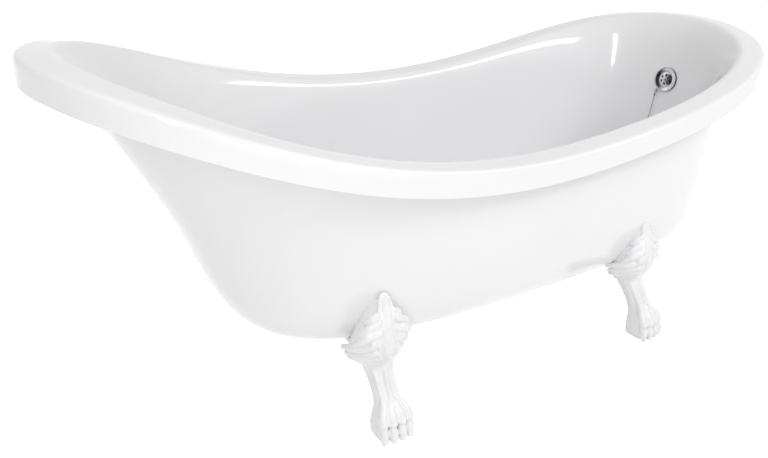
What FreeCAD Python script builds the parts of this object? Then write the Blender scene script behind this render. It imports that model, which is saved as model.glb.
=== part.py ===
import FreeCAD, Part
import math
import os

# Freestanding slipper bath on four claw feet. Millimetres, +X towards the drain end, +Z up,
# origin on the floor under the middle of the bath.

# ---- rolled rim, seen from above ----
LENGTH = 1700.0                 # over the roll, head end to drain end
WIDTH = 694.0                   # over the roll, at mid length
HEAD_ROUNDNESS = 1.75           # exponent of the outline on the head half
DRAIN_ROUNDNESS = 1.87          # exponent of the outline on the drain half
OUTLINE_SKEW = -0.04            # how much fuller the drain half is than the head half
OUTLINE_SHOULDER = 0.72         # how much fuller the outline is near both ends
OUTLINE_TWIST = 0.08            # the same, drain end against head end
# Height of the rim's crown above the floor, at even steps from the head end to the drain end.
RIM_HEIGHTS = (701.0, 616.0, 542.0, 521.0, 547.0, 605.0, 677.0)
ROLL_WIDTH = 61.0               # flat crown and its outer corner, measured inwards
ROLL_CORNER = 16.0              # rounding of the outer top corner
SKIRT_DEPTH = 49.0              # outer face of the roll, crown to lower edge
SKIRT_TURN = 8.0                # last stretch of the skirt, which hangs straight down
CROWN_INSET = 6.0               # crown's inner end, out from the roll's inner edge
CROWN_RISE = 1.5                # and its height over the crown line
CORNER_RISE = 0.5               # the same, at the start of the outer corner
CORNER_DROP = 4.0               # further than its rounding that the corner reaches down
BEAD_INSET = 9.0                # where the roll turns down into the bath, past its inner edge
BEAD_DROP = 14.0

# ---- shells ----
BASIN_WALL = 5.0                # inner shell, acrylic on laminate
SKIN_WALL = 5.0                 # outer shell
BOND_GAP = 0.3                  # resin line wherever one shell or fitting seats on another
RING_POINTS = 48                # poles round each ring of the shells

# ---- outer skin: bottom contour and wall ----
GROUND_CLEARANCE = 155.0        # floor to the underside of the skin
SKIN_BOTTOM_HEAD_INSET = 372.0  # bottom contour's ends, in from the roll's outer face
SKIN_BOTTOM_DRAIN_INSET = 170.0
SKIN_BOTTOM_WIDTH = 448.0
SKIN_BOTTOM_HEAD_ROUNDNESS = 3.6
SKIN_BOTTOM_DRAIN_ROUNDNESS = 2.67
SKIN_LEDGE_DROP = 44.0          # crown to the ledge that carries the roll
# (head end, side, drain end)
SKIN_LEDGE_INSET = (70.0, 33.0, 72.0)
SKIN_WAIST_INSET = (91.0, 35.0, 97.0)
SKIN_WAIST_DROP = 90.0
SKIN_FOOT_REACH = (0.30, 0.45, 1.18)
SKIN_WALL_LIFT = (0.41, 0.35, 0.18)
SKIN_WALL_SWELL = (-51.0, 15.0, 10.0)

# ---- inner basin: floor contour and wall ----
FLOOR_HEIGHT = 205.5            # bath floor at the drain end
FLOOR_FALL = 7.0                # rise of the bath floor towards the head end
BASIN_FLOOR_HEAD_INSET = 440.0  # floor contour's ends, in from the roll's outer face
BASIN_FLOOR_DRAIN_INSET = 260.0
BASIN_FLOOR_WIDTH = 350.0
BASIN_FLOOR_ROUNDNESS = 2.8
BASIN_SHOULDER_INSET = (126.0, 72.0, 121.0)
BASIN_SHOULDER_DROP = (78.0, 42.0, 76.0)
BASIN_FOOT_REACH = (0.30, 0.50, 0.62)
BASIN_WALL_LIFT = (0.42, 0.34, 0.30)
BASIN_WALL_SWELL = (-42.0, 12.0, 12.0)

# ---- base board and mounting blocks ----
BOARD_THICKNESS = 15.0
BOARD_HEAD_SETBACK = 10.0       # in from the floor contour's head end
BOARD_WASTE_GAP = 42.0          # board's drain end to the waste body
BOARD_WIDTH = 330.0
BOARD_CORNER = 60.0
BLOCK_LENGTH = 84.0
BLOCK_DEPTH = 56.0

# ---- feet ----
FOOT_HEAD_SETBACK = 139.0       # feet, in from the skin's bottom contour
FOOT_DRAIN_SETBACK = 301.0
FOOT_HEAD_SPREAD = 593.0        # heel line to heel line, across the bath
FOOT_DRAIN_SPREAD = 603.0
FOOT_SPLAY = 4.6                # degrees that each foot turns towards its end of the bath
PAW_HEIGHT = 46.0
TOE_HEIGHT = 46.0
TOE_COUNT = 4
TOE_SPAN = 60.0                 # outer toe to outer toe, centre lines
TOE_LEAD = 4.0                  # how far the middle toes reach past the outer ones
# Sections of a foot from below: share of the height, centre outwards from the heel line, depth,
# width and squareness.
PAW_SECTIONS = (
    (0.0, 24.0, 48.0, 66.0, 3.6),
    (0.11, 24.0, 52.0, 70.0, 3.6),
    (0.45, 22.0, 52.0, 71.0, 3.4),
    (0.8, 17.0, 52.0, 68.0, 2.9),
    (1.1, 11.0, 50.0, 58.0, 2.3),
    (1.4, 4.0, 50.0, 53.0, 2.0),
)
TOE_SECTIONS = (
    (0.0, 42.0, 24.0, 15.0, 2.2),
    (0.1, 42.0, 29.0, 18.0, 2.2),
    (0.45, 41.0, 28.0, 18.5, 2.2),
    (0.75, 38.0, 25.0, 17.0, 2.1),
    (1.0, 33.0, 19.0, 12.0, 2.0),
    (1.1, 30.0, 11.0, 8.0, 2.0),
)
LEG_SECTIONS = (
    (0.0, 10.0, 50.0, 54.0, 2.1),
    (0.22, -1.0, 51.0, 51.0, 2.0),
    (0.4, -17.0, 54.0, 52.0, 2.0),
    (0.59, -32.0, 60.0, 57.0, 2.0),
    (0.8, -41.0, 70.0, 76.0, 2.2),
    (1.04, -41.0, 84.0, 96.0, 2.3),
)
KNEE_DROP = 30.0                # the knee starts this far below the skin's underside
KNEE_RISE = 127.0               # and its crest stands this far above it
KNEE_SECTIONS = (
    (0.0, -41.0, 66.0, 72.0, 2.3),
    (0.1, -39.0, 84.0, 114.0, 2.3),
    (0.24, -32.0, 92.0, 140.0, 2.3),
    (0.42, -25.0, 82.0, 126.0, 2.3),
    (0.6, -21.0, 72.0, 96.0, 2.2),
    (0.78, -23.0, 62.0, 62.0, 2.1),
    (0.92, -28.0, 50.0, 38.0, 2.0),
    (1.0, -31.0, 40.0, 20.0, 2.0),
)
SECTION_POINTS = 24
PAD_INNER = -163.0              # foot's bolting pad, outwards from the heel line
PAD_WIDTH = 66.0
PAD_OUTER = -15.0
PAD_THICKNESS = 12.0

# ---- foot fixings, M8 ----
BOLT_RADIUS = 4.0
BOLT_HEAD_ACROSS_FLATS = 13.0
BOLT_HEAD_HEIGHT = 5.3
BOLT_REACH = -133.0             # bolt line, outwards from the heel line
BOLT_PITCH = 36.0
BOLT_CLEARANCE = 0.5
THREAD_CLEARANCE = 0.1
WASHER_RADIUS = 9.0
WASHER_THICKNESS = 1.6
INSERT_RADIUS = 6.0
INSERT_LENGTH = 20.0

# ---- overflow ----
OVERFLOW_HEIGHT = 515.0
OVERFLOW_HOLE_RADIUS = 22.0
FACEPLATE_RADIUS = 36.0
FACEPLATE_STAND = 7.0           # rim of the faceplate, out from the wall
FACEPLATE_SKIRT = 3.0           # its edge reaches this far back before it is cut to the wall
FACEPLATE_RIM = 7.0
FACEPLATE_BEVEL = 2.0
FACEPLATE_DISH = 4.0
FACEPLATE_SHEET = 1.6
GRILLE_RADIUS = 19.0
GRILLE_RISE = 1.0
GRILLE_HOLES = 6
GRILLE_HOLE_RADIUS = 3.6
GRILLE_HOLE_CIRCLE = 11.5
OVERFLOW_SCREW_RADIUS = 3.0
OVERFLOW_SCREW_HEAD_RADIUS = 5.0
OVERFLOW_SCREW_HEAD_HEIGHT = 2.4
SCREW_SLOT_WIDTH = 1.2
SCREW_SLOT_DEPTH = 1.2
OVERFLOW_BODY_RADIUS = 29.0
OVERFLOW_FLANGE_THICKNESS = 3.0
OVERFLOW_CUP_RADIUS = 24.0
OVERFLOW_BODY_DEPTH = 20.0
OVERFLOW_BODY_WALL = 3.0
OVERFLOW_BOSS_RADIUS = 6.0
OVERFLOW_SEAL_THICKNESS = 3.0
STAY_ANGLE = 30.0               # the chain's lug, round from straight down
STAY_REACH = 2.5                # the lug's hole, out from the faceplate's edge
STAY_RADIUS = 3.6
STAY_HOLE_RADIUS = 1.5
STAY_THICKNESS = 2.0

# ---- overflow hose ----
SPIGOT_RADIUS = 7.5
SPIGOT_WALL = 2.0
SPIGOT_LENGTH = 20.0
HOSE_WALL = 2.2
HOSE_DROP = 45.0                # straight run below the overflow before the hose's long corner
HOSE_BEND = 70.0
CLIP_WALL = 1.5
CLIP_WIDTH = 9.0
CLIP_SETBACK = 4.0              # clip from the hose's end

# ---- waste ----
WASTE_SETBACK = 90.0            # waste's axis, in from the floor contour's drain end
WASTE_HOLE_RADIUS = 26.0
FLANGE_RADIUS = 35.0
FLANGE_THICKNESS = 2.4
FLANGE_BEVEL = 1.2
FLANGE_THROAT_RADIUS = 22.0
FLANGE_SPIGOT_RADIUS = 24.5
FLANGE_SPIGOT_REACH = 12.0      # into the waste body
STRAINER_BARS = 3
STRAINER_BAR = 4.0
STRAINER_BOSS_RADIUS = 8.0
WASTE_SCREW_RADIUS = 4.0
WASTE_SCREW_HEAD_RADIUS = 7.0
WASTE_SCREW_HEAD_HEIGHT = 2.6
WASTE_SEAL_THICKNESS = 3.0
WASTE_BODY_RADIUS = 33.0
WASTE_BODY_DEPTH = 42.0
WASTE_BODY_WALL = 3.5
WASTE_SPIGOT_DROP = 19.0        # the hose's spigot, below the waste body's top
WASTE_BRIDGE_WIDTH = 12.0
WASTE_BRIDGE_HEIGHT = 8.0
OUTLET_RADIUS = 23.9            # 1 1/2 inch pipe thread, outside
OUTLET_LENGTH = 24.0
OUTLET_BORE_RADIUS = 19.0
ACCESS_RADIUS = 62.0            # hole in the skin under the waste

# ---- plug and chain ----
PLUG_RADIUS = 21.7              # rubber stopper where it seats
PLUG_TAPER = 1.4
PLUG_DEPTH = 14.0
PLUG_LIP = 2.0
PLUG_CAP_RADIUS = 24.0
PLUG_CAP_THICKNESS = 5.0
PLUG_CAP_EDGE = 2.0
PLUG_LUG_LENGTH = 7.0
PLUG_LUG_THICKNESS = 2.4
PLUG_EYE_RISE = 3.0
RING_RADIUS = 12.5
RING_WIRE = 1.1
RING_DIP = 5.0                  # degrees that the ring's far side hangs
STAY_RING_RADIUS = 4.0
STAY_RING_WIRE = 0.8
CLASP_LOOP_RADIUS = 2.5
CLASP_LOOP_WIRE = 0.7
CLASP_RADIUS = 2.4
CLASP_LENGTH = 8.0
CHAIN_RADIUS = 1.9
# Hand-set route of the bead chain, from the clasp at the overflow to the clasp at the plug.
CHAIN_ROUTE = (
    (710.5, 19.2, 464.3),
    (707.8, 19.0, 420.0),
    (701.4, 24.0, 370.0),
    (693.9, 25.5, 318.0),
    (682.8, 28.0, 271.0),
    (666.0, 27.0, 238.0),
    (637.0, 23.0, 215.6),
    (600.0, 12.0, 208.4),
    (568.0, 3.0, 210.0),
    (536.0, 0.0, 214.9),
)

HALF_LENGTH = LENGTH / 2
SKIN_BOTTOM_HEAD = SKIN_BOTTOM_HEAD_INSET - HALF_LENGTH
SKIN_BOTTOM_DRAIN = HALF_LENGTH - SKIN_BOTTOM_DRAIN_INSET
BASIN_FLOOR_HEAD = BASIN_FLOOR_HEAD_INSET - HALF_LENGTH
BASIN_FLOOR_DRAIN = HALF_LENGTH - BASIN_FLOOR_DRAIN_INSET
WASTE_X = BASIN_FLOOR_DRAIN - WASTE_SETBACK
BOARD_HEAD = BASIN_FLOOR_HEAD + BOARD_HEAD_SETBACK
BOARD_DRAIN = WASTE_X - WASTE_BODY_RADIUS - BOARD_WASTE_GAP
FOOT_HEAD_X = SKIN_BOTTOM_HEAD + FOOT_HEAD_SETBACK
FOOT_DRAIN_X = SKIN_BOTTOM_DRAIN - FOOT_DRAIN_SETBACK
HALF_WIDTH = WIDTH / 2
X_AXIS = FreeCAD.Vector(1, 0, 0)
Y_AXIS = FreeCAD.Vector(0, 1, 0)
Z_AXIS = FreeCAD.Vector(0, 0, 1)
ORIGIN = FreeCAD.Vector(0, 0, 0)
TURNS = [2 * math.pi * index / RING_POINTS for index in range(RING_POINTS)]


def save(shape, node):
    """Writes one node and says how many solids it has and how large they are."""
    shape.exportStep("parts/" + node + ".step")
    print("%-20s %d solid(s) %.1f cm3 valid %s" % (
        node, len(shape.Solids), shape.Volume / 1000, shape.isValid()))


def power(value, exponent):
    return math.copysign(abs(value) ** exponent, value)


def between(turn, values):
    """A value given at the head end, the sides and the drain end, at this turn round the bath."""
    head, side, drain = values
    end = head if math.cos(turn) < 0 else drain
    return side + (end - side) * math.cos(turn) ** 2


def through(values, share):
    """The smooth curve through evenly spaced values, read at a share from 0 to 1."""
    last = len(values) - 1
    total = 0.0
    for index, value in enumerate(values):
        weight = value
        for other in range(len(values)):
            if other != index:
                weight *= (share * last - other) / (index - other)
        total += weight
    return total


def oval(turn, head, drain, width, head_roundness, drain_roundness):
    """A point of an oval whose two halves have their own roundness."""
    roundness = head_roundness if math.cos(turn) < 0 else drain_roundness
    x = (head + drain) / 2 + (drain - head) / 2 * power(math.cos(turn), 2 / roundness)
    y = width / 2 * power(math.sin(turn), 2 / roundness)
    return x, y


def rim_outline(turn):
    """The outside of the roll, seen from above."""
    x, y = oval(turn, -HALF_LENGTH, HALF_LENGTH, WIDTH, HEAD_ROUNDNESS, DRAIN_ROUNDNESS)
    share = x / HALF_LENGTH
    fullness = 1 + OUTLINE_SKEW * share + OUTLINE_SHOULDER * share ** 2 + OUTLINE_TWIST * share ** 3
    return x, y * fullness


def rim_point(turn, inset, drop):
    """A point this far in from the roll's outer face and this far below its crown."""
    step = 0.5 * (TURNS[1] - TURNS[0])
    ahead = rim_outline(turn + step)
    behind = rim_outline(turn - step)
    along = FreeCAD.Vector(ahead[0] - behind[0], ahead[1] - behind[1], 0).normalize()
    inwards = Z_AXIS.cross(along)
    x, y = rim_outline(turn)
    height = through(RIM_HEIGHTS, (x / HALF_LENGTH + 1) / 2)
    return FreeCAD.Vector(x, y, height - drop) + inwards * inset


def rim_row(insets, drops):
    return [rim_point(turn, between(turn, insets), between(turn, drops)) for turn in TURNS]


def level(value):
    return (value, value, value)


def smoothed(row):
    """Poles moved out by what a cubic ring takes off them, so that the ring passes near the row."""
    count = len(row)
    poles = []
    for index, point in enumerate(row):
        middle = (row[index - 1] + row[(index + 1) % count]) * 0.5
        poles.append(point + (point - middle) * (1 / 3.0))
    return poles


def ring_face(rows, degree):
    """A face that goes right round: each row is a closed ring of poles, cubic round the ring."""
    around = len(rows[0])
    spans = len(rows) - degree
    across_mults = [degree + 1] + [1] * (spans - 1) + [degree + 1]
    across_knots = [float(knot) for knot in range(spans + 1)]
    around_knots = [float(knot) for knot in range(around + 1)]
    surface = Part.BSplineSurface()
    surface.buildFromPolesMultsKnots(
        rows, across_mults, [1] * (around + 1), across_knots, around_knots, False, True, degree, 3)
    return surface.toShape()


def ring_cap(row):
    """The flat face inside one closed ring of poles."""
    knots = [float(knot) for knot in range(len(row) + 1)]
    curve = Part.BSplineCurve()
    curve.buildFromPolesMultsKnots(row, [1] * (len(row) + 1), knots, True, 3)
    return Part.Face(Part.Wire([curve.toShape()]))


def solid_of(faces):
    shell = Part.Compound(faces)
    shell.sewShape()
    solid = Part.Solid(shell.Shells[0])
    if solid.Volume < 0:
        solid.reverse()
    return solid


def ring_solid(rows, degree):
    """A closed body through rings of poles, with flat ends."""
    return solid_of([ring_cap(rows[0]), ring_face(rows, degree), ring_cap(rows[-1])])


def offset_rows(rows, distance):
    """Rows moved square to the surface that they control."""
    moved = []
    last = len(rows) - 1
    for index, row in enumerate(rows):
        below = rows[max(index - 1, 0)]
        above = rows[min(index + 1, last)]
        line = []
        for place in range(len(row)):
            across = above[place] - below[place]
            along = row[(place + 1) % len(row)] - row[place - 1]
            line.append(row[place] + along.cross(across).normalize() * distance)
        moved.append(line)
    return moved


# ---- inner basin ----

def floor_height(x):
    share = (BASIN_FLOOR_DRAIN - x) / (BASIN_FLOOR_DRAIN - BASIN_FLOOR_HEAD)
    return FLOOR_HEIGHT + FLOOR_FALL * share


def wall_rows(contour, top, reach, lift, swell, height_at):
    """Rows of a wall that leaves a flat contour level and climbs to its top row."""
    low = []
    mid = []
    for turn, start, end in zip(TURNS, contour, top):
        way = FreeCAD.Vector(end.x - start.x, end.y - start.y, 0)
        foot = start + way * between(turn, reach)
        foot.z = height_at(foot.x)
        low.append(foot)
        outwards = FreeCAD.Vector(way).normalize()
        mid.append(foot + (end - foot) * between(turn, lift) + outwards * between(turn, swell))
    return [contour, low, mid]


def basin_rows():
    """The wetted surface: floor contour, wall, shoulder, crown of the roll and its skirt."""
    contour = []
    for turn in TURNS:
        x, y = oval(turn, BASIN_FLOOR_HEAD, BASIN_FLOOR_DRAIN, BASIN_FLOOR_WIDTH,
                    BASIN_FLOOR_ROUNDNESS, BASIN_FLOOR_ROUNDNESS)
        contour.append(FreeCAD.Vector(x, y, floor_height(x)))
    shoulder = rim_row(BASIN_SHOULDER_INSET, BASIN_SHOULDER_DROP)
    rows = wall_rows(contour, shoulder, BASIN_FOOT_REACH, BASIN_WALL_LIFT, BASIN_WALL_SWELL, floor_height)
    rows.append(shoulder)
    rows.append(rim_row(level(ROLL_WIDTH + BEAD_INSET), level(BEAD_DROP)))
    rows.append(rim_row(level(ROLL_WIDTH - CROWN_INSET), level(-CROWN_RISE)))
    rows.append(rim_row(level((ROLL_WIDTH + ROLL_CORNER) / 2), level(0)))
    rows.append(rim_row(level(ROLL_CORNER), level(-CORNER_RISE)))
    rows.append(rim_row(level(0), level(0)))
    rows.append(rim_row(level(0), level(ROLL_CORNER + CORNER_DROP)))
    rows.append(rim_row(level(0), level(SKIRT_DEPTH - SKIRT_TURN)))
    rows.append(rim_row(level(0), level(SKIRT_DEPTH)))
    return [smoothed(row) for row in rows]


def basin_shell(rows, wall, underside):
    """A shell of this wall behind the wetted rows, with a level underside to its floor."""
    back = offset_rows(rows, wall)
    for row in back[:2]:
        for point in row:
            point.z = underside
    faces = [ring_cap(rows[0]), ring_face(rows, 3), ring_face([rows[-1], back[-1]], 1),
             ring_face(back, 3), ring_cap(back[0])]
    return solid_of(faces)


def fittings_clearance(rows):
    """The inner shell with the bond gap all round it, for cutting what seats on it."""
    grown = offset_rows(rows, -BOND_GAP)
    return basin_shell(grown, BASIN_WALL + 2 * BOND_GAP, basin_underside() - BOND_GAP)


def basin_underside():
    return FLOOR_HEIGHT - BASIN_WALL


# ---- outer skin ----

def skin_rows():
    """The outside of the skin: bottom contour, wall, waist and ledge under the roll."""
    contour = []
    for turn in TURNS:
        x, y = oval(turn, SKIN_BOTTOM_HEAD, SKIN_BOTTOM_DRAIN, SKIN_BOTTOM_WIDTH,
                    SKIN_BOTTOM_HEAD_ROUNDNESS, SKIN_BOTTOM_DRAIN_ROUNDNESS)
        contour.append(FreeCAD.Vector(x, y, GROUND_CLEARANCE))
    waist = rim_row(SKIN_WAIST_INSET, level(SKIN_WAIST_DROP))
    rows = wall_rows(contour, waist, SKIN_FOOT_REACH, SKIN_WALL_LIFT, SKIN_WALL_SWELL,
                     lambda x: GROUND_CLEARANCE)
    rows.append(waist)
    rows.append(rim_row(SKIN_LEDGE_INSET, level(SKIN_LEDGE_DROP)))
    return [smoothed(row) for row in rows]


def skin_shell(rows):
    """The skin's wall with a ledge that reaches out to the inside of the roll's skirt."""
    inside = offset_rows(rows, -SKIN_WALL)
    for row in inside[:2]:
        for point in row:
            point.z = GROUND_CLEARANCE + SKIN_WALL
    edge_inset = level(BASIN_WALL + BOND_GAP)
    edge_low = smoothed(rim_row(edge_inset, level(SKIN_LEDGE_DROP)))
    edge_high = smoothed(rim_row(edge_inset, level(SKIN_LEDGE_DROP - SKIN_WALL)))
    inside[-1] = [point + Z_AXIS * SKIN_WALL for point in inside[-1]]
    faces = [ring_cap(rows[0]), ring_face(rows, 3), ring_face([rows[-1], edge_low], 1),
             ring_face([edge_low, edge_high], 1), ring_face([edge_high, inside[-1]], 1),
             ring_face(inside, 3), ring_cap(inside[0])]
    return solid_of(faces)


def skin_body(rows, grow):
    """The space inside the skin's outer face, grown by a gap, for cutting what seats on it."""
    grown = offset_rows(rows, grow)
    for row in grown[:2]:
        for point in row:
            point.z = GROUND_CLEARANCE - grow
    lid = [FreeCAD.Vector(point.x, point.y, max(RIM_HEIGHTS)) for point in grown[-1]]
    return solid_of([ring_cap(grown[0]), ring_face(grown, 3), ring_face([grown[-1], lid], 1), ring_cap(lid)])


def upright(radius, low, high, x=0.0, y=0.0):
    return Part.makeCylinder(radius, high - low, FreeCAD.Vector(x, y, low), Z_AXIS)


def tube(outer, inner, low, high, x=0.0, y=0.0):
    return upright(outer, low, high, x, y).cut(upright(inner, low, high, x, y))


# ---- base board and mounting blocks ----

def board_top():
    return basin_underside() - BOND_GAP


def base_board():
    board = Part.makeBox(BOARD_DRAIN - BOARD_HEAD, BOARD_WIDTH, BOARD_THICKNESS,
                         FreeCAD.Vector(BOARD_HEAD, -BOARD_WIDTH / 2, board_top() - BOARD_THICKNESS))
    corners = [edge for edge in board.Edges if len({round(point.Z) for point in edge.Vertexes}) > 1]
    return board.makeFillet(BOARD_CORNER, corners)


# ---- feet ----

def foot_places():
    """Name, position of the heel line's middle and heading of each foot."""
    splay = FOOT_SPLAY
    return (
        ("foot_head_near", FOOT_HEAD_X, -FOOT_HEAD_SPREAD / 2, -90 - splay),
        ("foot_head_far", FOOT_HEAD_X, FOOT_HEAD_SPREAD / 2, 90 + splay),
        ("foot_drain_near", FOOT_DRAIN_X, -FOOT_DRAIN_SPREAD / 2, -90 + splay),
        ("foot_drain_far", FOOT_DRAIN_X, FOOT_DRAIN_SPREAD / 2, 90 - splay),
    )


def placed(shape, x, y, heading):
    """A foot-side shape, drawn with +X outwards from the bath, put in its place."""
    turned = shape.copy()
    turned.Placement = FreeCAD.Placement(FreeCAD.Vector(x, y, 0), FreeCAD.Rotation(Z_AXIS, heading))
    return turned


def section_row(height, centre, depth, width, squareness):
    """A closed ring of poles: an oval or rounded box at a height, depth along +X."""
    row = []
    for index in range(SECTION_POINTS):
        turn = 2 * math.pi * index / SECTION_POINTS
        x = centre + depth / 2 * power(math.cos(turn), 2 / squareness)
        y = width / 2 * power(math.sin(turn), 2 / squareness)
        row.append(FreeCAD.Vector(x, y, height))
    return row


def built_up(sections, low, high):
    """A body through sections whose heights are shares of the way from low to high."""
    rows = [section_row(low + share * (high - low), *rest) for share, *rest in sections]
    return ring_solid(rows, 3)


def bolt_offsets():
    return [(BOLT_REACH, side * BOLT_PITCH / 2) for side in (-1, 1)]


def pad_underside():
    return GROUND_CLEARANCE - BOND_GAP - PAD_THICKNESS


def foot_casting():
    """One foot, drawn about its heel line with +X outwards and its back not yet fitted."""
    leg = built_up(LEG_SECTIONS, PAW_HEIGHT, GROUND_CLEARANCE)
    knee = built_up(KNEE_SECTIONS, GROUND_CLEARANCE - KNEE_DROP, GROUND_CLEARANCE + KNEE_RISE)
    pad = Part.makeBox(PAD_OUTER - PAD_INNER, PAD_WIDTH, 2 * PAD_THICKNESS,
                       FreeCAD.Vector(PAD_INNER, -PAD_WIDTH / 2, pad_underside()))
    shape = built_up(PAW_SECTIONS, 0, PAW_HEIGHT).fuse([leg, knee, pad])
    for index in range(TOE_COUNT):
        side = 2 * index / (TOE_COUNT - 1) - 1
        toe = built_up(TOE_SECTIONS, 0, TOE_HEIGHT)
        toe.translate(FreeCAD.Vector(TOE_LEAD * (1 - side ** 2), side * TOE_SPAN / 2, 0))
        shape = shape.fuse(toe)
    for reach, side in bolt_offsets():
        hole = upright(BOLT_RADIUS + BOLT_CLEARANCE, pad_underside(), GROUND_CLEARANCE, reach, side)
        shape = shape.cut(hole)
    return shape


# ---- foot fixings ----

def hexagon(across_flats, low, high, x, y):
    """A hexagonal prism that stands upright."""
    corner = across_flats / math.sqrt(3)
    points = [FreeCAD.Vector(x + corner * math.cos(math.pi / 3 * index),
                             y + corner * math.sin(math.pi / 3 * index), low) for index in range(7)]
    return Part.Face(Part.makePolygon(points)).extrude(FreeCAD.Vector(0, 0, high - low))


def foot_fixings():
    """Bolt, washer and threaded insert at each hole of one foot, and the block over its pad."""
    pad_low = pad_underside()
    block_low = GROUND_CLEARANCE + SKIN_WALL + BOND_GAP
    block_high = board_top() - BOARD_THICKNESS - BOND_GAP
    washer_low = pad_low - WASHER_THICKNESS
    block = Part.makeBox(BLOCK_DEPTH, BLOCK_LENGTH, block_high - block_low,
                         FreeCAD.Vector(BOLT_REACH - BLOCK_DEPTH / 2, -BLOCK_LENGTH / 2, block_low))
    bolts, washers, inserts = [], [], []
    for x, y in bolt_offsets():
        insert_high = block_low + INSERT_LENGTH
        bolt = upright(BOLT_RADIUS, washer_low, insert_high, x, y)
        head = hexagon(BOLT_HEAD_ACROSS_FLATS, washer_low - BOLT_HEAD_HEIGHT, washer_low, x, y)
        bolts.append(bolt.fuse(head))
        washers.append(tube(WASHER_RADIUS, BOLT_RADIUS + BOLT_CLEARANCE, washer_low, pad_low, x, y))
        inserts.append(tube(INSERT_RADIUS, BOLT_RADIUS + THREAD_CLEARANCE, block_low, insert_high, x, y))
        block = block.cut(upright(INSERT_RADIUS + THREAD_CLEARANCE, block_low, block_high, x, y))
    return bolts, washers, inserts, [block]


def skin_with_holes(skin):
    """The skin with its bolt holes and the opening under the waste."""
    low = GROUND_CLEARANCE
    high = GROUND_CLEARANCE + SKIN_WALL
    holes = [upright(ACCESS_RADIUS, low, high, WASTE_X)]
    for _, x, y, heading in foot_places():
        for reach, side in bolt_offsets():
            hole = upright(BOLT_RADIUS + BOLT_CLEARANCE, low, high, reach, side)
            holes.append(placed(hole, x, y, heading))
    return skin.cut(holes)


# ---- overflow ----

def overflow_frame(wetted):
    """Where the overflow's axis meets the end wall: +Z into the bath, +X down the wall."""
    middle = FreeCAD.Vector(0, 0, OVERFLOW_HEIGHT)
    line = Part.makeLine(middle, middle + X_AXIS * HALF_LENGTH)
    point = wetted.section(line).Vertexes[0].Point
    into = wetted.normalAt(*wetted.Surface.parameter(point))
    into = FreeCAD.Vector(-abs(into.x), 0, -into.z * math.copysign(1, into.x)).normalize()
    down = FreeCAD.Vector(-into.z, 0, into.x)
    side = into.cross(down)
    return FreeCAD.Placement(FreeCAD.Matrix(
        down.x, side.x, into.x, point.x,
        down.y, side.y, into.y, point.y,
        down.z, side.z, into.z, point.z,
        0, 0, 0, 1))


def in_frame(shape, frame):
    moved = shape.copy()
    moved.Placement = frame.multiply(moved.Placement)
    return moved


def turned_profile(points, x=0.0):
    """A body turned about an upright axis from (radius, height) points."""
    corners = [FreeCAD.Vector(x + radius, 0, height) for radius, height in points]
    outline = Part.makePolygon(corners + corners[:1])
    return Part.Face(outline).revolve(FreeCAD.Vector(x, 0, 0), Z_AXIS, 360)


def lying(radius, start, length, height=0.0):
    """A cylinder along +X at a height."""
    return Part.makeCylinder(radius, length, FreeCAD.Vector(start, 0, height), X_AXIS)


def largest_solid(shape):
    """What is left in front of the wall once the wall has been cut away."""
    return max(shape.Solids, key=lambda solid: solid.Volume)


def slotted_screw(radius, head_radius, head_height, low, seat, x=0.0):
    screw = upright(radius, low, seat, x)
    screw = screw.fuse(turned_profile([
        (0, seat), (head_radius, seat), (head_radius, seat + head_height / 2),
        (head_radius - head_height / 2, seat + head_height), (0, seat + head_height)], x))
    slot = Part.makeBox(2 * head_radius, SCREW_SLOT_WIDTH, SCREW_SLOT_DEPTH, FreeCAD.Vector(
        x - head_radius, -SCREW_SLOT_WIDTH / 2, seat + head_height - SCREW_SLOT_DEPTH))
    return screw.cut(slot)


def stay_hole():
    """The hole of the faceplate's lug, in the overflow's frame."""
    reach = FACEPLATE_RADIUS + STAY_REACH
    angle = math.radians(STAY_ANGLE)
    height = FACEPLATE_STAND - STAY_THICKNESS / 2
    return FreeCAD.Vector(reach * math.cos(angle), -reach * math.sin(angle), height)


def overflow_faceplate():
    """Dished ring with a domed grille and the chain's lug."""
    low = -FACEPLATE_SKIRT
    stand = FACEPLATE_STAND
    dish = stand - FACEPLATE_DISH
    hole = OVERFLOW_SCREW_RADIUS + BOLT_CLEARANCE
    rim = [(FACEPLATE_RADIUS, stand - FACEPLATE_BEVEL), (FACEPLATE_RADIUS - FACEPLATE_BEVEL, stand),
           (FACEPLATE_RADIUS - FACEPLATE_RIM, stand), (GRILLE_RADIUS + FACEPLATE_BEVEL, dish)]
    dome = [(GRILLE_RADIUS, dish), (GRILLE_RADIUS - FACEPLATE_BEVEL, dish + FACEPLATE_DISH / 2),
            (GRILLE_RADIUS / 2, stand + GRILLE_RISE / 2), (hole, stand + GRILLE_RISE)]
    back = [(radius - FACEPLATE_SHEET, height - FACEPLATE_SHEET) for radius, height in rim]
    back += [(radius, height - FACEPLATE_SHEET) for radius, height in dome]
    plate = turned_profile(
        [(FACEPLATE_RADIUS, low)] + rim + dome + back[::-1] + [(FACEPLATE_RADIUS - FACEPLATE_SHEET, low)])
    for index in range(GRILLE_HOLES):
        angle = 2 * math.pi * index / GRILLE_HOLES
        x = GRILLE_HOLE_CIRCLE * math.cos(angle)
        y = GRILLE_HOLE_CIRCLE * math.sin(angle)
        plate = plate.cut(upright(GRILLE_HOLE_RADIUS, low, stand + GRILLE_RISE, x, y))
    eye = stay_hole()
    lug_low = eye.z - STAY_THICKNESS / 2
    lug = upright(STAY_RADIUS, lug_low, stand, eye.x, eye.y)
    lug = lug.cut(upright(FACEPLATE_RADIUS - FACEPLATE_SHEET, lug_low, stand))
    return plate.fuse(lug).cut(upright(STAY_HOLE_RADIUS, lug_low, stand, eye.x, eye.y))


def body_front():
    """The front of the overflow body's flange, behind the wall and its seal."""
    return -(BASIN_WALL + OVERFLOW_SEAL_THICKNESS + 2 * BOND_GAP)


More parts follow.
